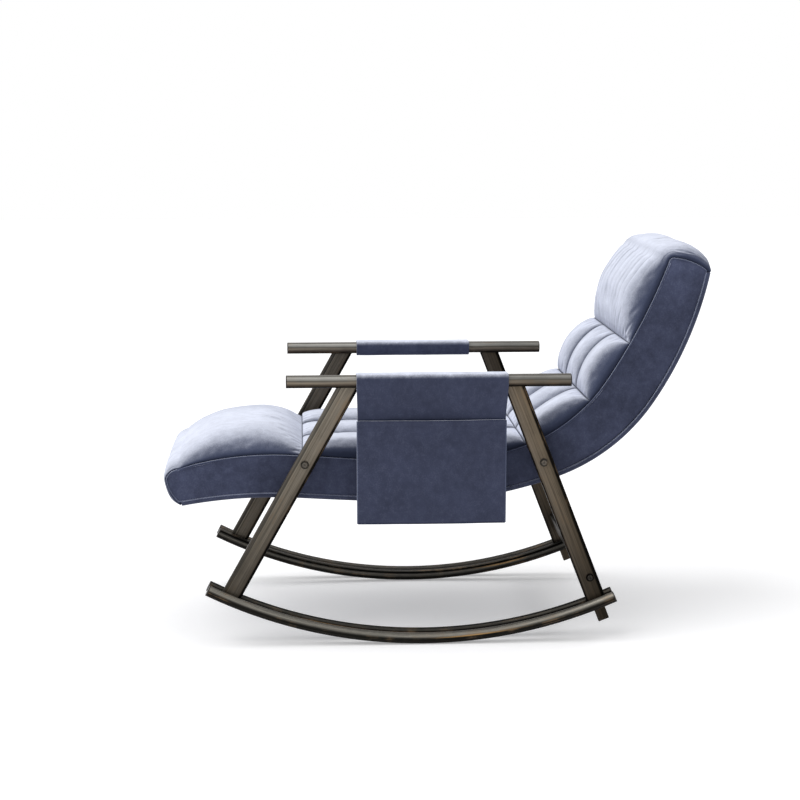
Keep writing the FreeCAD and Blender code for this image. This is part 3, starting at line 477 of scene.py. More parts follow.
def plastic(name, colour, rough=0.5):
    # moulded plastic or plain paint, with fine grain and a little dust
    material, shader, start = newMaterial(name)
    place = start.node("ShaderNodeTexCoord", output="Object")
    grain = place.noise(1400.0, 2.0, 0.6)
    dust = place.noise(40.0, 3.0, 0.6)
    tone = 1.0 + (grain - 0.5) * 0.15 + (dust - 0.5) * 0.25
    feed(shader, start.tree, Base_Color=tone.shaded((*colour, 1)), Specular_IOR_Level=0.3,
         Roughness=rough + (grain - 0.5) * 0.15, Normal=grain.bump(0.2, 0.0001))
    return material


# painted light and shade of each cloth: its dark tone where it turns from the light, its pale tone where it
# faces it; one velvet throughout, so the pieces' different tones are lit and shaded copies
velvetLitShadedTones = {
    "pad": ((0.054, 0.066, 0.116), (0.73, 0.765, 0.88)),
    "side": ((0.049, 0.057, 0.100), (0.42, 0.45, 0.56)),
    "sleeve": ((0.049, 0.057, 0.100), (0.73, 0.765, 0.88)),
    "welt": ((0.100, 0.118, 0.190), (0.73, 0.765, 0.88)),
}
# painted light where the side bands turn lighter: heights at the head, distances ahead of the middle at the
# foot
sideEndLight = {"head": (0.74, 0.89), "headLightGain": 0.55, "foot": (0.33, 0.58), "footLightGain": 0.30}
padVelvet = velvet("pad velvet", *velvetLitShadedTones["pad"], mottle=0.3)
sideVelvet = velvet("side velvet", *velvetLitShadedTones["side"], mottle=0.8, fall=1.5, ends=sideEndLight)
sleeveVelvet = velvet("sleeve velvet", *velvetLitShadedTones["sleeve"], mottle=0.5, fall=0.75)
weltVelvet = velvet("welt velvet", *velvetLitShadedTones["welt"], mottle=0.2)
print("materials made")


# The pads
padLook = {
    "groove": 88.0,       # sewn channels, from the middle
    "peak": 168.0,        # top of the outer lobes
    "step": 4.2,          # size of the mesh, along and across
    "underStep": 18.0,
    "root": 3.0,          # underside of the pads, below the seam line
    "flank": 1.45,        # fullness of the outer lobes' sides
    "seamShade": 1.7,     # width of the painted shadow along the seams
    "seamHold": 6.0,      # how near a seam the cover is held still
    "tuck": 3.2,          # how far the cover turns in at the side seam
    "tuckWidth": 12.0,
    "bolster": 1.07,      # the foot and head pads are domed this much more in the middle
    "gap": 0.3,
}
# seams across the pads, by the distance along the seam line
footSeam, seatSeam, backSeam, headSeam = 282.5, 797.0, 977.0, 1137.5


def spread(low, high, step, power=1.0):
    # places between two ends, closer together near both
    count = max(6, round((high - low) / step))
    shares = [0.5 - 0.5 * math.cos(math.pi * i / count) for i in range(count + 1)]
    return [low + (high - low) * (power * s + (1 - power) * i / count) for i, s in enumerate(shares)]


def lobeHeight(x, crown, channel, edge):
    # three rounded lobes with two sewn channels between them
    x = abs(x)
    groove, peak, half = padLook["groove"], padLook["peak"], seatSide["half"]
    if x < peak:
        share = x / groove if x < groove else (peak - x) / (peak - groove)
        return channel + (crown - channel) * (1 - share ** 2.0) ** 0.5
    side = (x - peak) / (half - peak)
    return crown * max(0.0, 1 - side ** edge) ** (padLook["flank"] / edge)


def bolsterHeight(x, crown, power=4.0, root=0.5):
    # one dome from side to side
    return padLook["bolster"] * crown * max(0.0, 1 - abs(x / seatSide["half"]) ** power) ** root


# small creases that run away from every seam: share, reach, spacing across and along
puckerLook = {
    "height": 1.1,
    "ends": (1.0, 24, 15, 70),
    "sides": (0.6, 26, 60, 20),
    "channels": (0.8, 16, 50, 17),
    "allOver": (0.5, 110, 130),
    "flatEdge": 8,
}


def crease(kind, away, x, distance, seed):
    share, reach, across, along = puckerLook[kind]
    return share * math.exp(-away / reach) * ripple(x / across, distance / along, seed)


def puckers(x, distance, start, end, lobed, seed):
    fromEnd = min(distance - start, end - distance)
    fromSide = seatSide["half"] - abs(x)
    size = crease("ends", fromEnd, x, distance, seed)
    size += crease("sides", fromSide, x, distance, seed + 7)
    if lobed:
        size += crease("channels", abs(abs(x) - padLook["groove"]), x, distance, seed + 3)
    share, across, along = puckerLook["allOver"]
    size += share * ripple(x / across, distance / along, seed + 11)
    return puckerLook["height"] * size * min(1.0, fromSide / puckerLook["flatEdge"])


def seamCloseness(x, distance, start, end, reach, channel):
    # 1 on a seam, falling away over the reach; the channels have a width and a depth of their own
    side = max(0.0, seatSide["half"] - abs(x))
    nearest = min(side, max(0.0, min(distance - start, end - distance)) * 1.5)
    closeness = math.exp(-(nearest / reach) ** 2)
    if channel:
        fromGroove = abs(abs(x) - padLook["groove"])
        closeness = max(closeness, channel[1] * math.exp(-(fromGroove / channel[0]) ** 2))
    return closeness


def makePad(name, start, end, columns, heightAt, channel, seed, shadeAt=None, sewn=(True, True)):
    # the pad's cover as a rolled-up grid: over the top, down at its end and back underneath
    half, root = seatSide["half"], -padLook["root"]
    top = [(d, None) for d in spread(start, end, padLook["step"], 0.8)]
    under = [(d, root) for d in spread(start, end, padLook["underStep"])]
    rows = [(start, root)] + top + under[::-1]

    def place(column, row):
        x, (distance, height) = columns[column], rows[row]
        if height is None:
            height = heightAt(x, distance) + puckers(x, distance, start, end, channel, seed)
            height = max(height, 0.0)
        tuck = 0.0
        if half - abs(x) < padLook["tuckWidth"]:
            tuck = padLook["tuck"] * math.exp(-height / 3.5)
        return inPlace(x - math.copysign(tuck, x), frontLine.offset(distance, height))

    farAway = 9000.0
    # painted shade along the seams, only at the ends given as sewn
    shadedEnds = [start if sewn[0] else -farAway, end if sewn[1] else farAway]
    heldChannel = channel and (padLook["seamHold"], 1.0)

    def shadowAt(x, distance):
        shadow = seamCloseness(x, distance, *shadedEnds, padLook["seamShade"], channel)
        return max(shadow, shadeAt(x, distance)) if shadeAt else shadow

    def holdAt(x, distance):
        return seamCloseness(x, distance, start, end, padLook["seamHold"], heldChannel)

    piece = layGrid(name, len(columns), len(rows), place)
    # seam: painted shade for the material; held: how still the cloth is kept
    for label, topAt in (("seam", shadowAt), ("held", holdAt)):
        markGrid(piece, label, len(columns), lambda column, row:
                 topAt(columns[column], rows[row][0]) if rows[row][1] is None else 1.0)
    closeUp(piece)
    return piece


clothLook = {
    "frames": 20,
    "limit": 0.0024,      # furthest that a point may move, in metres
    "settings": {"quality": 5, "mass": 0.3, "bending_stiffness": 2.0, "use_pressure": True,
                 "uniform_pressure_force": 4.0, "shrink_min": -0.008, "vertex_group_mass": "held"},
}


def settle(piece):
    # the cover fills out under pressure while its seams are held
    select(piece)
    held = piece.vertex_groups.new(name="held")
    for index, mark in enumerate(piece.data.attributes["held"].data):
        held.add([index], mark.value, "REPLACE")
    before = [vertex.co.copy() for vertex in piece.data.vertices]
    bpy.ops.object.modifier_add(type="CLOTH")
    cover = piece.modifiers[-1]
    for name, value in clothLook["settings"].items():
        setattr(cover.settings, name, value)
    cover.settings.effector_weights.gravity = 0
    cover.collision_settings.use_collision = False
    cover.point_cache.frame_start, cover.point_cache.frame_end = 1, clothLook["frames"]
    scene = bpy.context.scene
    for number in range(1, clothLook["frames"] + 1):
        scene.frame_set(number)
    bpy.ops.object.modifier_apply(modifier=cover.name)
    scene.frame_set(1)
    limit = clothLook["limit"]
    for vertex, place in zip(piece.data.vertices, before):
        move = vertex.co - place
        if move.length > 1e-9:
            vertex.co = place + move * (math.tanh(move.length / limit) * limit / move.length)
    piece.vertex_groups.clear()


half, groove = seatSide["half"], padLook["groove"]
lobeColumns = sorted(set(spread(-half, -groove, padLook["step"])
                         + spread(-groove, groove, padLook["step"])
                         + spread(groove, half, padLook["step"])))

# heights of the crown, of the channels and of the seams at both ends, then the roundness of the
# pad along (power) and across (edge), and the channels' painted shadow (width, depth)
channelPads = {
    "seat_pad": {"from": footSeam, "to": seatSeam, "crown": 46, "channel": 25, "ends": (15, 12),
                 "power": 0.45, "edge": 4.4, "shade": (19.0, 1.0)},
    "lower_back_pad": {"from": seatSeam, "to": backSeam, "crown": 43, "channel": 20, "ends": (12, 9),
                       "power": 0.5, "edge": 3.6, "shade": (12.0, 0.9)},
    "upper_back_pad": {"from": backSeam, "to": headSeam, "crown": 47, "channel": 23, "ends": (9, 6),
                       "power": 0.55, "edge": 3.2, "shade": (12.0, 0.85)},
}


def channelHeight(pad, start, end):
    def heightAt(x, distance):
        share = min(max((distance - start) / (end - start), 0.0), 1.0)
        rise = max(0.0, math.sin(math.pi * share)) ** pad["power"]
        seam = pad["ends"][0] + (pad["ends"][1] - pad["ends"][0]) * share
        crown = seam + (pad["crown"] - seam) * rise
        channel = seam * 0.8 + (pad["channel"] - seam * 0.8) * rise
        return lobeHeight(x, crown, channel, pad["edge"])
    return heightAt


pads = {}
for number, (nodeName, pad) in enumerate(channelPads.items()):
    low = noseLength + pad["from"] + padLook["gap"] / 2
    high = noseLength + pad["to"] - padLook["gap"] / 2
    pads[nodeName] = makePad(nodeName.replace("_", "."), low, high, lobeColumns,
                             channelHeight(pad, low, high), pad["shade"], 10.0 * number)

# heights of the foot pad and the headrest, by the distance along their front line
footStart = 2.0
footCrowns = [(footStart, 10), (noseLength * 0.2, 15), (noseLength * 0.5, 11), (noseLength * 0.85, 12),
              (noseLength + 14, 23), (noseLength + 45, 34.5), (noseLength + 105, 46),
              (noseLength + 180, 48), (noseLength + 240, 38), (noseLength + footSeam, 15)]
pads["foot_bolster"] = makePad("foot.bolster", footStart, noseLength + footSeam - padLook["gap"] / 2,
                               spread(-half, half, 5.0), lambda x, d: bolsterHeight(x, keyed(footCrowns, d)),
                               None, 41.0, sewn=(False, True))

headStart, seamTip, headEnd = noseLength + headSeam, noseLength + seamLine.length, frontLine.length
headCrowns = [(headStart, 8), (headStart + 15, 22), (headStart + 55, 41), (headStart + 110, 51),
              (headStart + 160, 44), (seamTip - 10, 33), (seamTip + 6, 24), (seamTip + 14, 22),
              (seamTip + 28, 25), (seamTip + 54, 33.5), (headEnd - 14, 28), (headEnd, 14)]
pleatLook = {
    "depth": 2.8,
    "wave": 44.0,         # from one pleat to the next
    "wander": 14.0,
    "length": 105.0,
    "reach": 205.0,       # how far they spread to each side
    "shade": 0.4,
    "seamAt": 6.0,        # the cross seam that gathers them, past the top of the seam line
    "seamDepth": 0.5,
    "seamWidth": 3.0,
    "seamShade": 0.35,
}


def pleatWave(x, distance):
    # 1 on the crown of a pleat and 0 between two pleats
    place = x + pleatLook["wander"] * ripple(x / 80, distance / 110, 5)
    return abs(math.sin(math.pi * place / pleatLook["wave"]))


def pleatStrength(x, distance, fromTop):
    # uneven, and fading down the headrest and towards its sides
    strength = math.exp(-(fromTop / pleatLook["length"]) ** 3)
    strength *= math.exp(-(x / pleatLook["reach"]) ** 6)
    return strength * (0.8 + 0.5 * ripple(x / 40, 3, 9) + 0.4 * ripple(x / 30, distance / 60, 2))


def headHeight(x, distance):
    height = bolsterHeight(x, keyed(headCrowns, distance), 4.6, 0.43)
    fromTop = seamTip + pleatLook["seamAt"] - distance
    height -= pleatLook["seamDepth"] * math.exp(-(fromTop / pleatLook["seamWidth"]) ** 2)
    if fromTop > 0:
        pleat = pleatLook["depth"] * (pleatWave(x, distance) ** 0.5 - 0.75)
        height += pleat * pleatStrength(x, distance, fromTop) * min(1.0, fromTop / 5)
    return height


def headShade(x, distance):
    # painted shade in the cross seam and in the bottoms of the pleats
    fromTop = seamTip + pleatLook["seamAt"] - distance
    shade = pleatLook["seamShade"] * math.exp(-(fromTop / 1.8) ** 2)
    if fromTop > 0:
        valley = (1 - pleatWave(x, distance)) ** 5
        shade = max(shade, pleatLook["shade"] * pleatStrength(x, distance, fromTop) * valley)
    return shade


pads["headrest"] = makePad("head.rest", headStart + padLook["gap"] / 2, headEnd,
                           spread(-half, half, 2.6, 0.4), headHeight, None, 73.0, headShade,
                           (True, False))
for nodeName, pad in pads.items():
    settle(pad)
    smooth(pad, 75)
    addPiece(pad, padVelvet)
    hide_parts(nodeName)
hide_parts("top_foam")
print("pads made")


# Side bands: the cloth panels between the pads' seam and the lower welt
bandLook = {
    "inset": 8.5,         # from the underside line up to the lower welt
    "height": 93.0,       # from the underside line to the seam line, for the rows of the mesh
    "thick": 5.0,
    "puff": 1.4,
    "dip": 1.2,           # how far the edges are drawn in
    "waves": (0.8, 0.35),
    "step": 9.0,
}


def sidePlace(u, v):
    # a place on the side panel: u from nose to head, v from the lower edge to the seam line
    lower, upper = underLine.at(u * underLine.length), seamLine.at(u * seamLine.length)
    front, rear = noseLine.at(v * noseLine.length), headLine.at((1 - v) * headLine.length)
    corners = (underLine.points[0] * (1 - u) * (1 - v) + underLine.points[-1] * u * (1 - v)
               + seamLine.points[0] * (1 - u) * v + seamLine.points[-1] * u * v)
    return lower * (1 - v) + upper * v + front * (1 - u) + rear * u - corners


def makeBand(side, sign):
    along = spread(0.0, 1.0, bandLook["step"] / underLine.length, 0.35)
    inset, height = bandLook["inset"], bandLook["height"]
    edgeRows, rows = (-1.5, 0, 1, 2.5, 5), [10 + 7.5 * i for i in range(9)]
    across = [(inset + d) / height for d in (*edgeRows, *rows)] + [0.93, 0.965, 0.985, 1.0]

    def place(column, row):
        u, v = along[column], across[row]
        point = sidePlace(u, v)
        edge = max(0, min(v * height - inset + 1.5, (1 - v) * height,
                          u * underLine.length, (1 - u) * underLine.length))
        broad, fine = bandLook["waves"]
        puff = bandLook["puff"] * (1 - math.exp(-edge / 9)) - bandLook["dip"] * math.exp(-edge / 2.5)
        puff += broad * ripple(point.x / 55, point.y / 75, 20 + sign) * min(1.0, edge / 15)
        puff += fine * ripple(point.x / 16, point.y / 60, 30 + sign) * math.exp(-edge / 18)
        return inPlace(sign * (half + puff), point)

    band = layGrid(side + ".side.band", len(along), len(across), place)
    applyModifier(band, "SOLIDIFY", thickness=bandLook["thick"] / 1000, offset=-sign)
    closeUp(band)
    smooth(band)
    addPiece(band, sideVelvet)
    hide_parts(side + "_side_band", side + "_side_foam")


sides = (("left", 1), ("right", -1))
for side, sign in sides:
    makeBand(side, sign)


# Back panel: one cloth under and behind the seat, turned round to the welts on both sides
panelLook = {"thick": 3.0, "puff": 1.0, "wave": 1.0, "step": 9.0, "flat": (0.53, 1.47)}


def makeBackPanel():
    inset = bandLook["inset"]
    quarter = [(half - inset + inset * math.sin(a), inset - inset * math.cos(a))
               for a in (math.radians(d) for d in (90, 75, 60, 45, 30, 15))]
    level = [(x, 0.0) for x in spread(-(half - inset), half - inset, 12.0, 0.5)]
    section = [(-x, d) for x, d in quarter] + level + [(x, d) for x, d in reversed(quarter)]
    stations = spread(0.0, underLine.length, panelLook["step"], 0.3)

    def place(column, row):
        x, depth = section[column]
        station = stations[row]
        edge = max(0.0, half - inset - abs(x))
        puff = panelLook["puff"] * (1 - math.exp(-edge / 60))
        puff += panelLook["wave"] * ripple(x / 90, station / 120, 50) * min(1, edge / 90)
        puff *= min(1.0, station / 25, (underLine.length - station) / 25)
        return inPlace(x, underLine.offset(station, depth - puff))

    panel = layGrid("back.panel", len(section), len(stations), place)
    applyModifier(panel, "SOLIDIFY", thickness=panelLook["thick"] / 1000, offset=-1.0)
    closeUp(panel)
    smooth(panel)
    addPiece(panel, sideVelvet)
    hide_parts("back_panel", "base_foam")


makeBackPanel()
print("side bands and back panel made")


# Welts: piping round each side panel
weltLook = {"radius": 1.2, "proud": 0.5, "noseIn": 2.0, "headIn": 1.0}


def makeWelts(side, sign):
    x = sign * (half + weltLook["proud"])
    bottom = [underLine.offset(d, bandLook["inset"])
              for d in spread(9.0, underLine.length - 6.0, 6.0, 0.2)]
    top = [seamLine.at(d) for d in spread(0.0, seamLine.length, 6.0, 0.2)]
    nose = [noseLine.offset(d, -weltLook["noseIn"])
            for d in spread(11.0, noseLine.length - 2.0, 4.0, 0.2)]
    head = [headLine.offset(d, -weltLook["headIn"])
            for d in spread(1.0, headLine.length - 10.0, 4.0, 0.2)]
    loop = nose + top + head + bottom[::-1]
    welt = piping(side + ".welt", [inPlace(x, p) for p in loop], weltLook["radius"] / 1000, True)
    addPiece(welt, weltVelvet)


for side, sign in sides:
    makeWelts(side, sign)
print("welts made")


# Arm sleeves and the pocket
sleeveLook = {
    "centre": (290.0, 604.0),       # the armrest's axis
    "half": (23.3, 15.8),           # half the wrapped section, across and upright
    "corner": 9.5,
    "thick": 2.0,
    "rounding": 1.2,
    "bottom": 281.0,
    "mouth": 518.0,                 # height of the pocket's mouth
    # front and rear edge of the left one, by height, and of the right one
    "leftFront": [(281, -152.0), (518, -152.3), (600, -154.0), (622, -154.0)],
    "leftRear": [(281, 181.0), (518, 181.6), (600, 187.5), (622, 187.5)],
    "rightEnds": (-136.0, 150.0),
    "waves": (0.5, 0.35, 1.1),      # all over, at the ends, in the part that hangs
    "mouthShade": ((3.0, 1.0), (22.0, 0.4)),    # reach and depth of the painted dark line and of the painted soft shadow
    "leftFlat": (0.338, 0.445),
    "rightFlat": (0.286, 0.136),
}
# places along the cloth from front to rear, closer together at the hems
hemmed = [0.0, 0.004, 0.012] + [i / 48 for i in range(1, 48)] + [0.988, 0.996, 1.0]


def quarterTurn(x, z, first, last, count=8):
    radius = sleeveLook["corner"]
    angles = [math.radians(first + (last - first) * i / count) for i in range(count + 1)]
    return [(x + radius * math.cos(a), z + radius * math.sin(a)) for a in angles]


def wrapPath(sign, hanging):
    # the cloth's outer face across the chair: under the armrest, round it, then down
    (cx, cz), (w, h), r = sleeveLook["centre"], sleeveLook["half"], sleeveLook["corner"]
    path = quarterTurn(cx - w + r, cz - h + r, -90, -180)
    path += quarterTurn(cx - w + r, cz + h - r, 180, 90)
    path += quarterTurn(cx + w - r, cz + h - r, 90, 0)
    if hanging:
        path = [(cx + w - 3.4, cz - h), (cx, cz - h)] + path
        mouth = sleeveLook["mouth"]
        path += [(cx + w, z) for z in spread(cz + h - r - 4, mouth + 10, -6.0, 0.3)]
        path += [(cx + w, mouth + up) for up in (8, 6.5, 5, 4, 3, 2, 1, 0, -1.5, -3)]
        path += [(cx + w, z) for z in spread(mouth - 6, sleeveLook["bottom"], -6.0, 0.3)]
    else:
        meeting = [(cx + 2, cz - h)]
        path = meeting + path + quarterTurn(cx + w - r, cz - h + r, 0, -90) + meeting
    return [(sign * x, z) for x, z in path]


def leftEnds(z):
    return keyed(sleeveLook["leftFront"], z), keyed(sleeveLook["leftRear"], z)


def finishCloth(piece, thick, rounding, outside):
    # gives a single cloth its thickness, away from its outer face, and rounds its edges
    applyModifier(piece, "SOLIDIFY", thickness=thick / 1000, offset=outside)
    applyModifier(piece, "BEVEL", width=rounding / 1000, segments=2, limit_method="ANGLE",
                  angle_limit=math.radians(55))
    mend(piece)
    smooth(piece, 50)
    addPiece(piece, sleeveVelvet)


def makeSleeve(side, sign, hanging):
    path = wrapPath(sign, hanging)
    (cx, cz), (allOver, atEnds, inHang) = sleeveLook["centre"], sleeveLook["waves"]
    hangTop, wrapLow = cz - 14, cz - 18

    def place(column, row):
        x, z = path[row]
        front, rear = leftEnds(z) if hanging else sleeveLook["rightEnds"]
        y = front + (rear - front) * hemmed[column]
        fromEnd = min(y - front, rear - y)
        out = allOver * ripple(y / 45, (x + z) / 30, 60)
        out += atEnds * math.exp(-fromEnd / 12) * ripple(y / 9, z / 25, 61)
        out *= min(1.0, (fromEnd + 1) / 6)
        away = Vector((x - sign * cx, max(z, wrapLow) - cz)).normalized()
        if hanging and z < hangTop:
            out += inHang * ripple(y / 80, z / 110, 63) * min(1.0, (hangTop - z) / 60)
            away = Vector((1, 0))
        return Vector((x + away.x * out, y, z + away.y * out)) / 1000

    sleeve = layGrid(side + ".arm.sleeve", len(hemmed), len(path), place)
    if hanging:
        def mouthShadow(column, row):
            # painted shadow on the cloth above the pocket's mouth
            x, z = path[row]
            if x <= cx or z <= sleeveLook["mouth"] - 8:
                return 0.0
            above = z - sleeveLook["mouth"] - 1.5
            return max(depth * math.exp(-(above / reach) ** 2)
                       for reach, depth in sleeveLook["mouthShade"])

        markGrid(sleeve, "seam", len(hemmed), mouthShadow)
    else:
        mend(sleeve, merge=0.00005, outward=False)      # its first and last rows meet
    finishCloth(sleeve, sleeveLook["thick"], sleeveLook["rounding"], -sign)
    return sleeve


rightSleeve = makeSleeve("right", -1, False)
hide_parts("right_arm_sleeve")
leftSleeve = makeSleeve("left", 1, True)
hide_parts("left_arm_sleeve")


pocketLook = {
    "thick": 2.4,
    "rounding": 0.8,
    "off": 2.8,           # from the hanging cloth to the pocket's edges
    "belly": 8.0,
    "hem": 12.5,
    "hemFold": 0.7,
    "waves": (0.9, 0.25, 1.2),      # broad, fine, and up and down along the mouth
    "bottomShade": 3.4,
    "binding": 1.6,
    "cord": 0.8,
    "flat": (0.336, 0.262),
}


def makePocket():
    base = sleeveLook["centre"][0] + sleeveLook["half"][0] + 0.5
    bottom, mouth = sleeveLook["bottom"], sleeveLook["mouth"]
    broad, fine, upDown = pocketLook["waves"]
    heights = [bottom + d for d in (0, 1, 2, 3, 5)] + spread(bottom + 8, mouth - 16, 9.0, 0.2)
    heights += [mouth - d for d in (13, 12, 11, 6, 2, 0.6, 0)]

    def place(column, row):
        z = heights[row]
        front, rear = leftEnds(z)
        y = front + (rear - front) * hemmed[column]
        middle = 1 - (2 * hemmed[column] - 1) ** 2
        up = (z - bottom) / (mouth - bottom)
        x = base + pocketLook["off"] + pocketLook["belly"] * middle * (0.45 + 0.5 * up)
        x += broad * ripple(y / 70, z / 90, 70) * middle + fine * ripple(y / 14, z / 50, 72)
        if z > mouth - pocketLook["hem"]:
            x += pocketLook["hemFold"]
        lift = upDown * ripple(y / 90, 2, 71)
        return Vector((x, y, z + lift * (1 if row > 5 else 0.6))) / 1000

    pocket = layGrid("side.pocket", len(hemmed), len(heights), place)
    # painted shade along the pocket's bottom edge
    markGrid(pocket, "seam", len(hemmed), lambda column, row:
             math.exp(-((heights[row] - bottom) / pocketLook["bottomShade"]) ** 4))
    finishCloth(pocket, pocketLook["thick"], pocketLook["rounding"], -1)
    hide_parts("pocket")
    for number, (end, sign) in enumerate((("front", -1), ("rear", 1))):
        line = [Vector((base + 1.2, leftEnds(z)[number] + sign * 0.6, z)) / 1000
                for z in spread(bottom + 1, mouth - 1, 12.0, 0.2)]
        binding = piping("pocket.binding." + end, line, pocketLook["binding"] / 1000, False)
        addPiece(binding, weltVelvet)
    proud = Vector((0.0002, 0, 0.0002))
    line = [place(column, len(heights) - 1) + proud for column in range(2, len(hemmed) - 2)]
    cord = piping("pocket.mouth.cord", line, pocketLook["cord"] / 1000, False)
    addPiece(cord, sleeveVelvet)


makePocket()
print("sleeves and pocket made")


# Metal. A list of stops goes across a bar, with its two ends first. On the frame the stops are painted
# highlights, reflections and shade.
black, dim = (0.006, 0.005, 0.004), (0.050, 0.046, 0.040)
# painted highlights and shade from the leg's front face to its rear face (the stops), a point on its axis,
# its lean, and its painted shade:
# share left at the floor, height where it is full, tone on the side that faces the seat
legLook = {
    "front": {"centre": (0, -0.271, 0.416), "lean": 29.3, "legShade": (0.28, 0.62, 0.50), "stops": [
        (0.0, (0.12, 0.108, 0.094)), (1.0, black), (0.06, (0.18, 0.164, 0.140)),
        (0.19, (0.135, 0.122, 0.102)), (0.215, (0.44, 0.39, 0.32)), (0.25, (0.280, 0.244, 0.194)),
        (0.60, (0.325, 0.283, 0.228)), (0.82, (0.235, 0.198, 0.155)), (0.88, black)]},
    "rear": {"centre": (0, 0.271, 0.416), "lean": -21.2, "legShade": (0.14, 0.58, 0.40), "stops": [
        (0.0, black), (1.0, black), (0.05, black), (0.11, (0.260, 0.215, 0.165)),
        (0.45, (0.236, 0.189, 0.138)), (0.78, (0.195, 0.156, 0.110)), (0.85, black)]},
}
# painted highlights and shade from the armrest's underside to its top
armShadingStops = [(0.0, black), (1.0, (0.12, 0.115, 0.10)), (0.06, black), (0.139, (0.034, 0.028, 0.021)),
            (0.235, (0.070, 0.055, 0.042)), (0.326, (0.165, 0.135, 0.105)), (0.414, (0.30, 0.25, 0.195)),
            (0.50, (0.31, 0.27, 0.215)), (0.583, (0.21, 0.19, 0.16)), (0.664, (0.21, 0.195, 0.17)),
            (0.72, (0.41, 0.40, 0.37)), (0.90, (0.43, 0.42, 0.39)), (0.96, (0.20, 0.19, 0.175))]
# painted highlights, reflections and shade in grey tones, from the outside of the bend to the inside, one
# list per tube as each is lit its own way; the metal's own tint comes after
runnerShadingStops = {
    "left_outer": [(0.0, 0.17), (1.0, 0.006), (0.043, 0.36), (0.105, 0.21), (0.177, 0.31),
                   (0.255, 0.33), (0.336, 0.15), (0.42, 0.028), (0.52, 0.016), (0.61, 0.012),
                   (0.71, 0.028), (0.83, 0.006)],
    "left_inner": [(0.0, 0.006), (1.0, 0.006), (0.012, 0.02), (0.065, 0.115), (0.13, 0.085),
                   (0.207, 0.04), (0.27, 0.004), (0.40, 0.002), (0.50, 0.10), (0.60, 0.02)],
    "right_outer": [(0.0, 0.02), (1.0, 0.006), (0.038, 0.06), (0.11, 0.15), (0.192, 0.19),
                    (0.29, 0.20), (0.40, 0.10), (0.50, 0.02), (0.83, 0.02)],
    "right_inner": [(0.0, 0.05), (1.0, 0.006), (0.058, 0.05), (0.13, 0.003), (0.20, 0.006), (0.31, 0.14),
                    (0.415, 0.17), (0.517, 0.09), (0.62, 0.015), (0.74, 0.015), (0.87, 0.006)],
}
runnerLook = {
    "bend": (0.0, 1.0975, 1.085),       # centre along Y and Z, and radius
    "tint": (1.0, 0.94, 0.82),
    "glint": (0.25, 0.30, 0.38, 0.44),  # where the painted gold glint begins, is full, and ends
}
# half the depth of each bar, for the place of its stops
halfDepth = {"leg": 0.022, "armrest": 0.0135, "runner": 0.0125, "small": 0.3}


def dress(names, material):
    # gives parts of the frame their finish
    for name in names:
        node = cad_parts[name]
        node.data.materials.clear()
        node.data.materials.append(material)


for end, look in legLook.items():
    legMetal = bronze(end + " leg bronze", 2, look["stops"], ("Y", halfDepth["leg"]), look["centre"],
                      (look["lean"], 0, 0), legShade=look["legShade"])
    dress([side + "_" + end + "_leg" for side, sign in sides], legMetal)
    if end == "rear":
        dress(["left_tilt_stop", "right_tilt_stop"], legMetal)
armMetal = bronze("armrest bronze", 1, armShadingStops, ("Z", halfDepth["armrest"]), (0, 0, 0.604),
                  gloss=0.32, rearFade=(0.05, 0.26, 0.34))
dress(["left_armrest", "right_armrest"], armMetal)
for tube, tones in runnerShadingStops.items():
    stops = [(position, tuple(tone * share for share in runnerLook["tint"])) for position, tone in tones]
    runnerMetal = bronze(tube.replace("_", " ") + " runner bronze", 1, stops, ("Z", halfDepth["runner"]),
                         polar=runnerLook["bend"], gloss=0.28, glint=runnerLook["glint"])
    dress([tube + "_runner"], runnerMetal)


def smallBronze(name, first, last, gloss):
    # for bolts and the like: nearly one tone all over
    return bronze(name, 0, [(0.0, first), (1.0, last)], ("X", halfDepth["small"]), gloss=gloss)


dress(["seat_bolts", "seat_spacers", "stretcher_plugs"],
      smallBronze("bolt bronze", (0.12, 0.11, 0.095), (0.16, 0.145, 0.125), 0.34))
dress(["seat_bolt_washers", "stretcher_bolts", "rear_stretcher"],
      smallBronze("washer bronze", (0.035, 0.032, 0.028), dim, 0.45))
dress(["stretcher_bolt_washers"], smallBronze("lower washer bronze", black, black, 0.5))
capNames = ["left_armrest_caps", "right_armrest_caps", "left_runner_caps", "right_runner_caps"]
dress(capNames + ["front_leg_plugs"], plastic("cap plastic", (0.030, 0.025, 0.021), 0.45))
crossTubes = [name + "_cross_tube" for name in ("foot", "thigh", "hip", "back", "head")]
dress(["left_seat_rail", "right_seat_rail", "seat_brackets"] + crossTubes,
      plastic("inner paint", (0.02, 0.02, 0.022), 0.55))
dress(["webbing"], plastic("webbing", (0.02, 0.02, 0.021), 0.8))
print("metal dressed")


# Floor, light and camera
stageLook = {
    "sky": 0.44,          # light from all round
    "lift": 0.3,          # brings the floor up to white where it is seen
    "floorTone": (0.86, 0.86, 0.87, 1),
    "floorSize": 30,
}


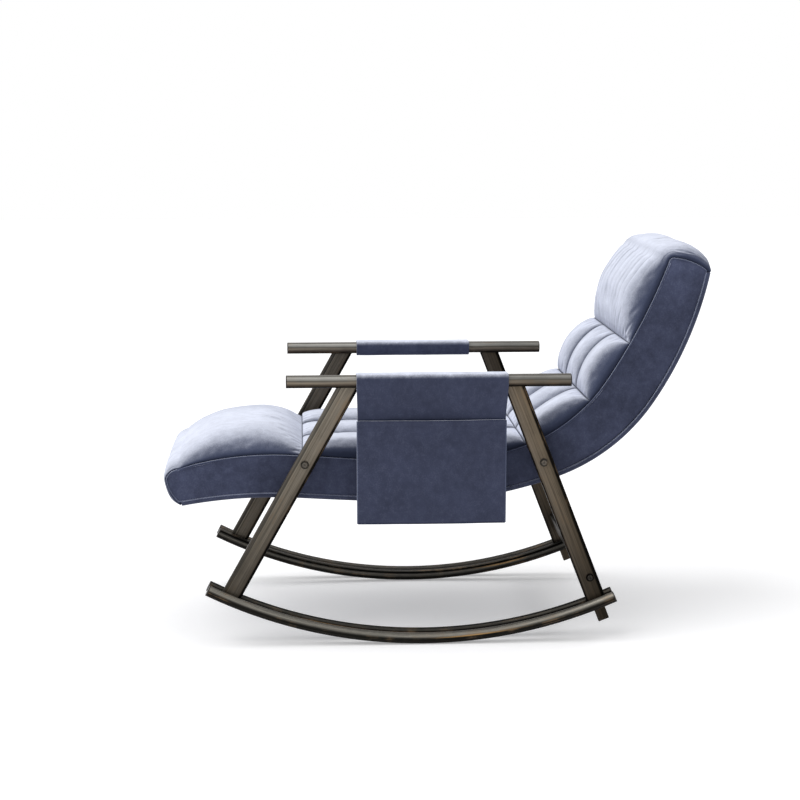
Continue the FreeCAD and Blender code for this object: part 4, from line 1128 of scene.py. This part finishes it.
def seenDirectly(start):
    # 1 for what the camera, a gloss or a glass sees, 0 for light that falls on a piece
    rays = [start.node("ShaderNodeLightPath", output="Is " + kind + " Ray")
            for kind in ("Camera", "Glossy", "Transmission")]
    return start.maths("MAXIMUM", start.maths("MAXIMUM", rays[0], rays[1]), rays[2])


def makeStage():
    bpy.ops.mesh.primitive_plane_add(size=stageLook["floorSize"], location=(0, 0, 0))
    floor = bpy.context.object
    floor.name = "floor"
    material, shader, start = newMaterial("pale floor")
    feed(shader, start.tree, Base_Color=stageLook["floorTone"], Roughness=0.9, Specular_IOR_Level=0.0,
         Emission_Color=seenDirectly(start).blend((0, 0, 0), (1, 1, 1)),
         Emission_Strength=stageLook["lift"])
    floor.data.materials.append(material)

    world = bpy.context.scene.world or bpy.data.worlds.new("studio")
    bpy.context.scene.world = world
    world.use_nodes = True
    tree = world.node_tree
    start = Link(tree, None)
    sky = seenDirectly(start).blend((stageLook["sky"],) * 3, (1, 1, 1))
    background = tree.nodes["Background"]
    tree.links.new(sky.socket, background.inputs["Color"])
    background.inputs["Strength"].default_value = 1.0


lights = {
    "key": {"from": (0.30, -1.0, 1.25), "softness": 55.0, "power": 1.75},
    "top": {"from": (-0.25, 0.25, 1.0), "softness": 60.0, "power": 0.8},
}


def makeLights():
    for name, light in lights.items():
        bpy.ops.object.light_add(type="SUN", location=Vector(light["from"]) * 3)
        lamp = bpy.context.object
        lamp.name = name + " light"
        lamp.data.energy = light["power"]
        lamp.data.angle = math.radians(light["softness"])
        lamp.rotation_euler = (-Vector(light["from"])).to_track_quat("-Z", "Y").to_euler()


cameraLook = {"place": (4.4838, -0.2788, 1.2312), "turn": (80.929, 0.0, 86.954),
              "lens": 85, "sensor": 36}


def makeCamera():
    bpy.ops.object.camera_add(location=cameraLook["place"],
                              rotation=[math.radians(angle) for angle in cameraLook["turn"]])
    camera = bpy.context.object
    camera.data.sensor_width = cameraLook["sensor"]
    camera.data.lens = cameraLook["lens"]
    camera.data.dof.use_dof = False
    bpy.context.scene.camera = camera


makeStage()
makeLights()
makeCamera()
bpy.context.scene.view_settings.view_transform = "Standard"
